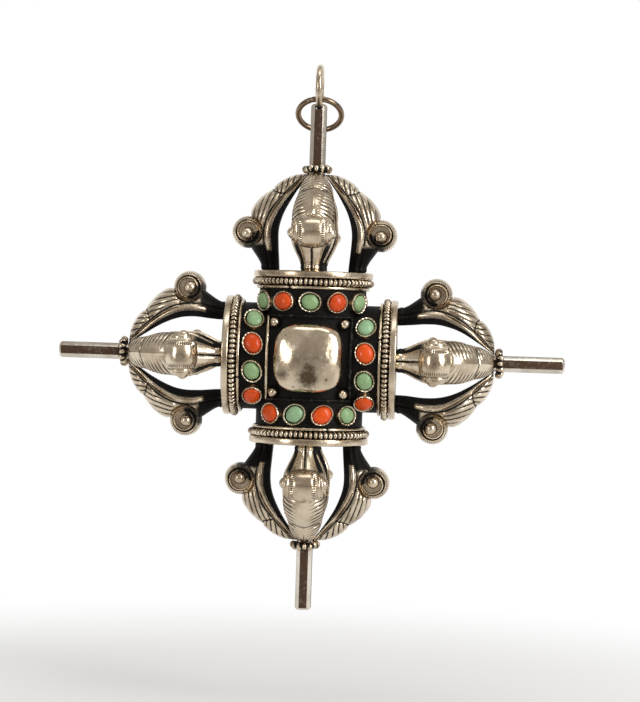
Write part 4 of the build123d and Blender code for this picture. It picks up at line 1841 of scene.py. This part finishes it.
def set_floor(stage):
    """Pale floor that sweeps up into a backdrop behind the object, clear from beneath."""
    level = CAD_BOX[0].z - stage.drop
    deselect()
    bpy.ops.mesh.primitive_plane_add(
        size=2.0 * FLOOR_HALF, location=(0.0, BACKDROP_DISTANCE - FLOOR_HALF, level)
    )
    sheet = take("floor")
    pick_edges(sheet, lambda first, last: min(first.y, last.y) > BACKDROP_DISTANCE - SHEET_NEAR)
    bpy.ops.mesh.spin(
        steps=SWEEP_STEPS,
        angle=-pi / 2.0,
        center=(0.0, BACKDROP_DISTANCE, level + SWEEP_RADIUS),
        axis=(1.0, 0.0, 0.0),
    )
    push(BACKDROP_HEIGHT)
    bpy.ops.mesh.select_all(action="SELECT")
    bpy.ops.mesh.normals_make_consistent(inside=True)
    hold(sheet)
    if min(face.normal.z for face in sheet.data.polygons) < -SHEET_NEAR:
        sheet.data.flip_normals()
    bpy.ops.object.shade_smooth()
    sheet.data.materials.append(pale_finish())
    sheet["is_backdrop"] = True


class GHAU_OT_stage(bpy.types.Operator):
    """Camera at the photograph's angle, soft lamps, pale floor and backdrop"""

    bl_idname = "ghau.stage"
    bl_label = "Stage"

    def execute(self, context):
        stage = context.scene.ghau_stage
        set_camera(stage)
        set_lights(stage)
        set_floor(stage)
        context.scene.view_settings.view_transform = "Standard"
        return {"FINISHED"}


PIECE_OPERATORS = (
    GHAU_OT_prongs,
    GHAU_OT_bead_wires,
    GHAU_OT_collars,
    GHAU_OT_drum_wires,
    GHAU_OT_discs,
    GHAU_OT_rods,
    GHAU_OT_bosses,
    GHAU_OT_frame_wires,
    GHAU_OT_granules,
    GHAU_OT_bezels,
    GHAU_OT_stones,
    GHAU_OT_hanging_loop,
    GHAU_OT_jump_ring,
    GHAU_OT_box,
    GHAU_OT_stage,
)


class GHAU_PT_pieces(bpy.types.Panel):
    """Lists the pieces of the amulet box and the stage"""

    bl_idname = "GHAU_PT_pieces"
    bl_label = "Amulet box"
    bl_space_type = "VIEW_3D"
    bl_region_type = "UI"
    bl_category = "Amulet box"

    def draw(self, context):
        for operator in PIECE_OPERATORS:
            self.layout.operator(operator.bl_idname)


GROUPS = {"ghau_sizes": GhauSizes, "ghau_colours": GhauColours, "ghau_stage": GhauStage}
CLASSES = (*GROUPS.values(), *PIECE_OPERATORS, GHAU_PT_pieces)


def register():
    for held in CLASSES:
        bpy.utils.register_class(held)
    for name, group in GROUPS.items():
        setattr(bpy.types.Scene, name, bpy.props.PointerProperty(type=group))


def unregister():
    for name in GROUPS:
        delattr(bpy.types.Scene, name)
    for held in reversed(CLASSES):
        bpy.utils.unregister_class(held)


def main():
    register()
    bpy.ops.ghau.prongs()
    bpy.ops.ghau.bead_wires()
    bpy.ops.ghau.collars()
    bpy.ops.ghau.drum_wires()
    bpy.ops.ghau.discs()
    bpy.ops.ghau.rods()
    bpy.ops.ghau.bosses()
    bpy.ops.ghau.frame_wires()
    bpy.ops.ghau.granules()
    bpy.ops.ghau.bezels()
    bpy.ops.ghau.stones()
    bpy.ops.ghau.hanging_loop()
    bpy.ops.ghau.jump_ring()
    bpy.ops.ghau.box()
    bpy.ops.ghau.stage()
    boxes = {"cad": CAD_BOX, "visual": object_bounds()}
    {name: [list(corner) for corner in box] for name, box in boxes.items()}


if __name__ == "__main__":
    main()
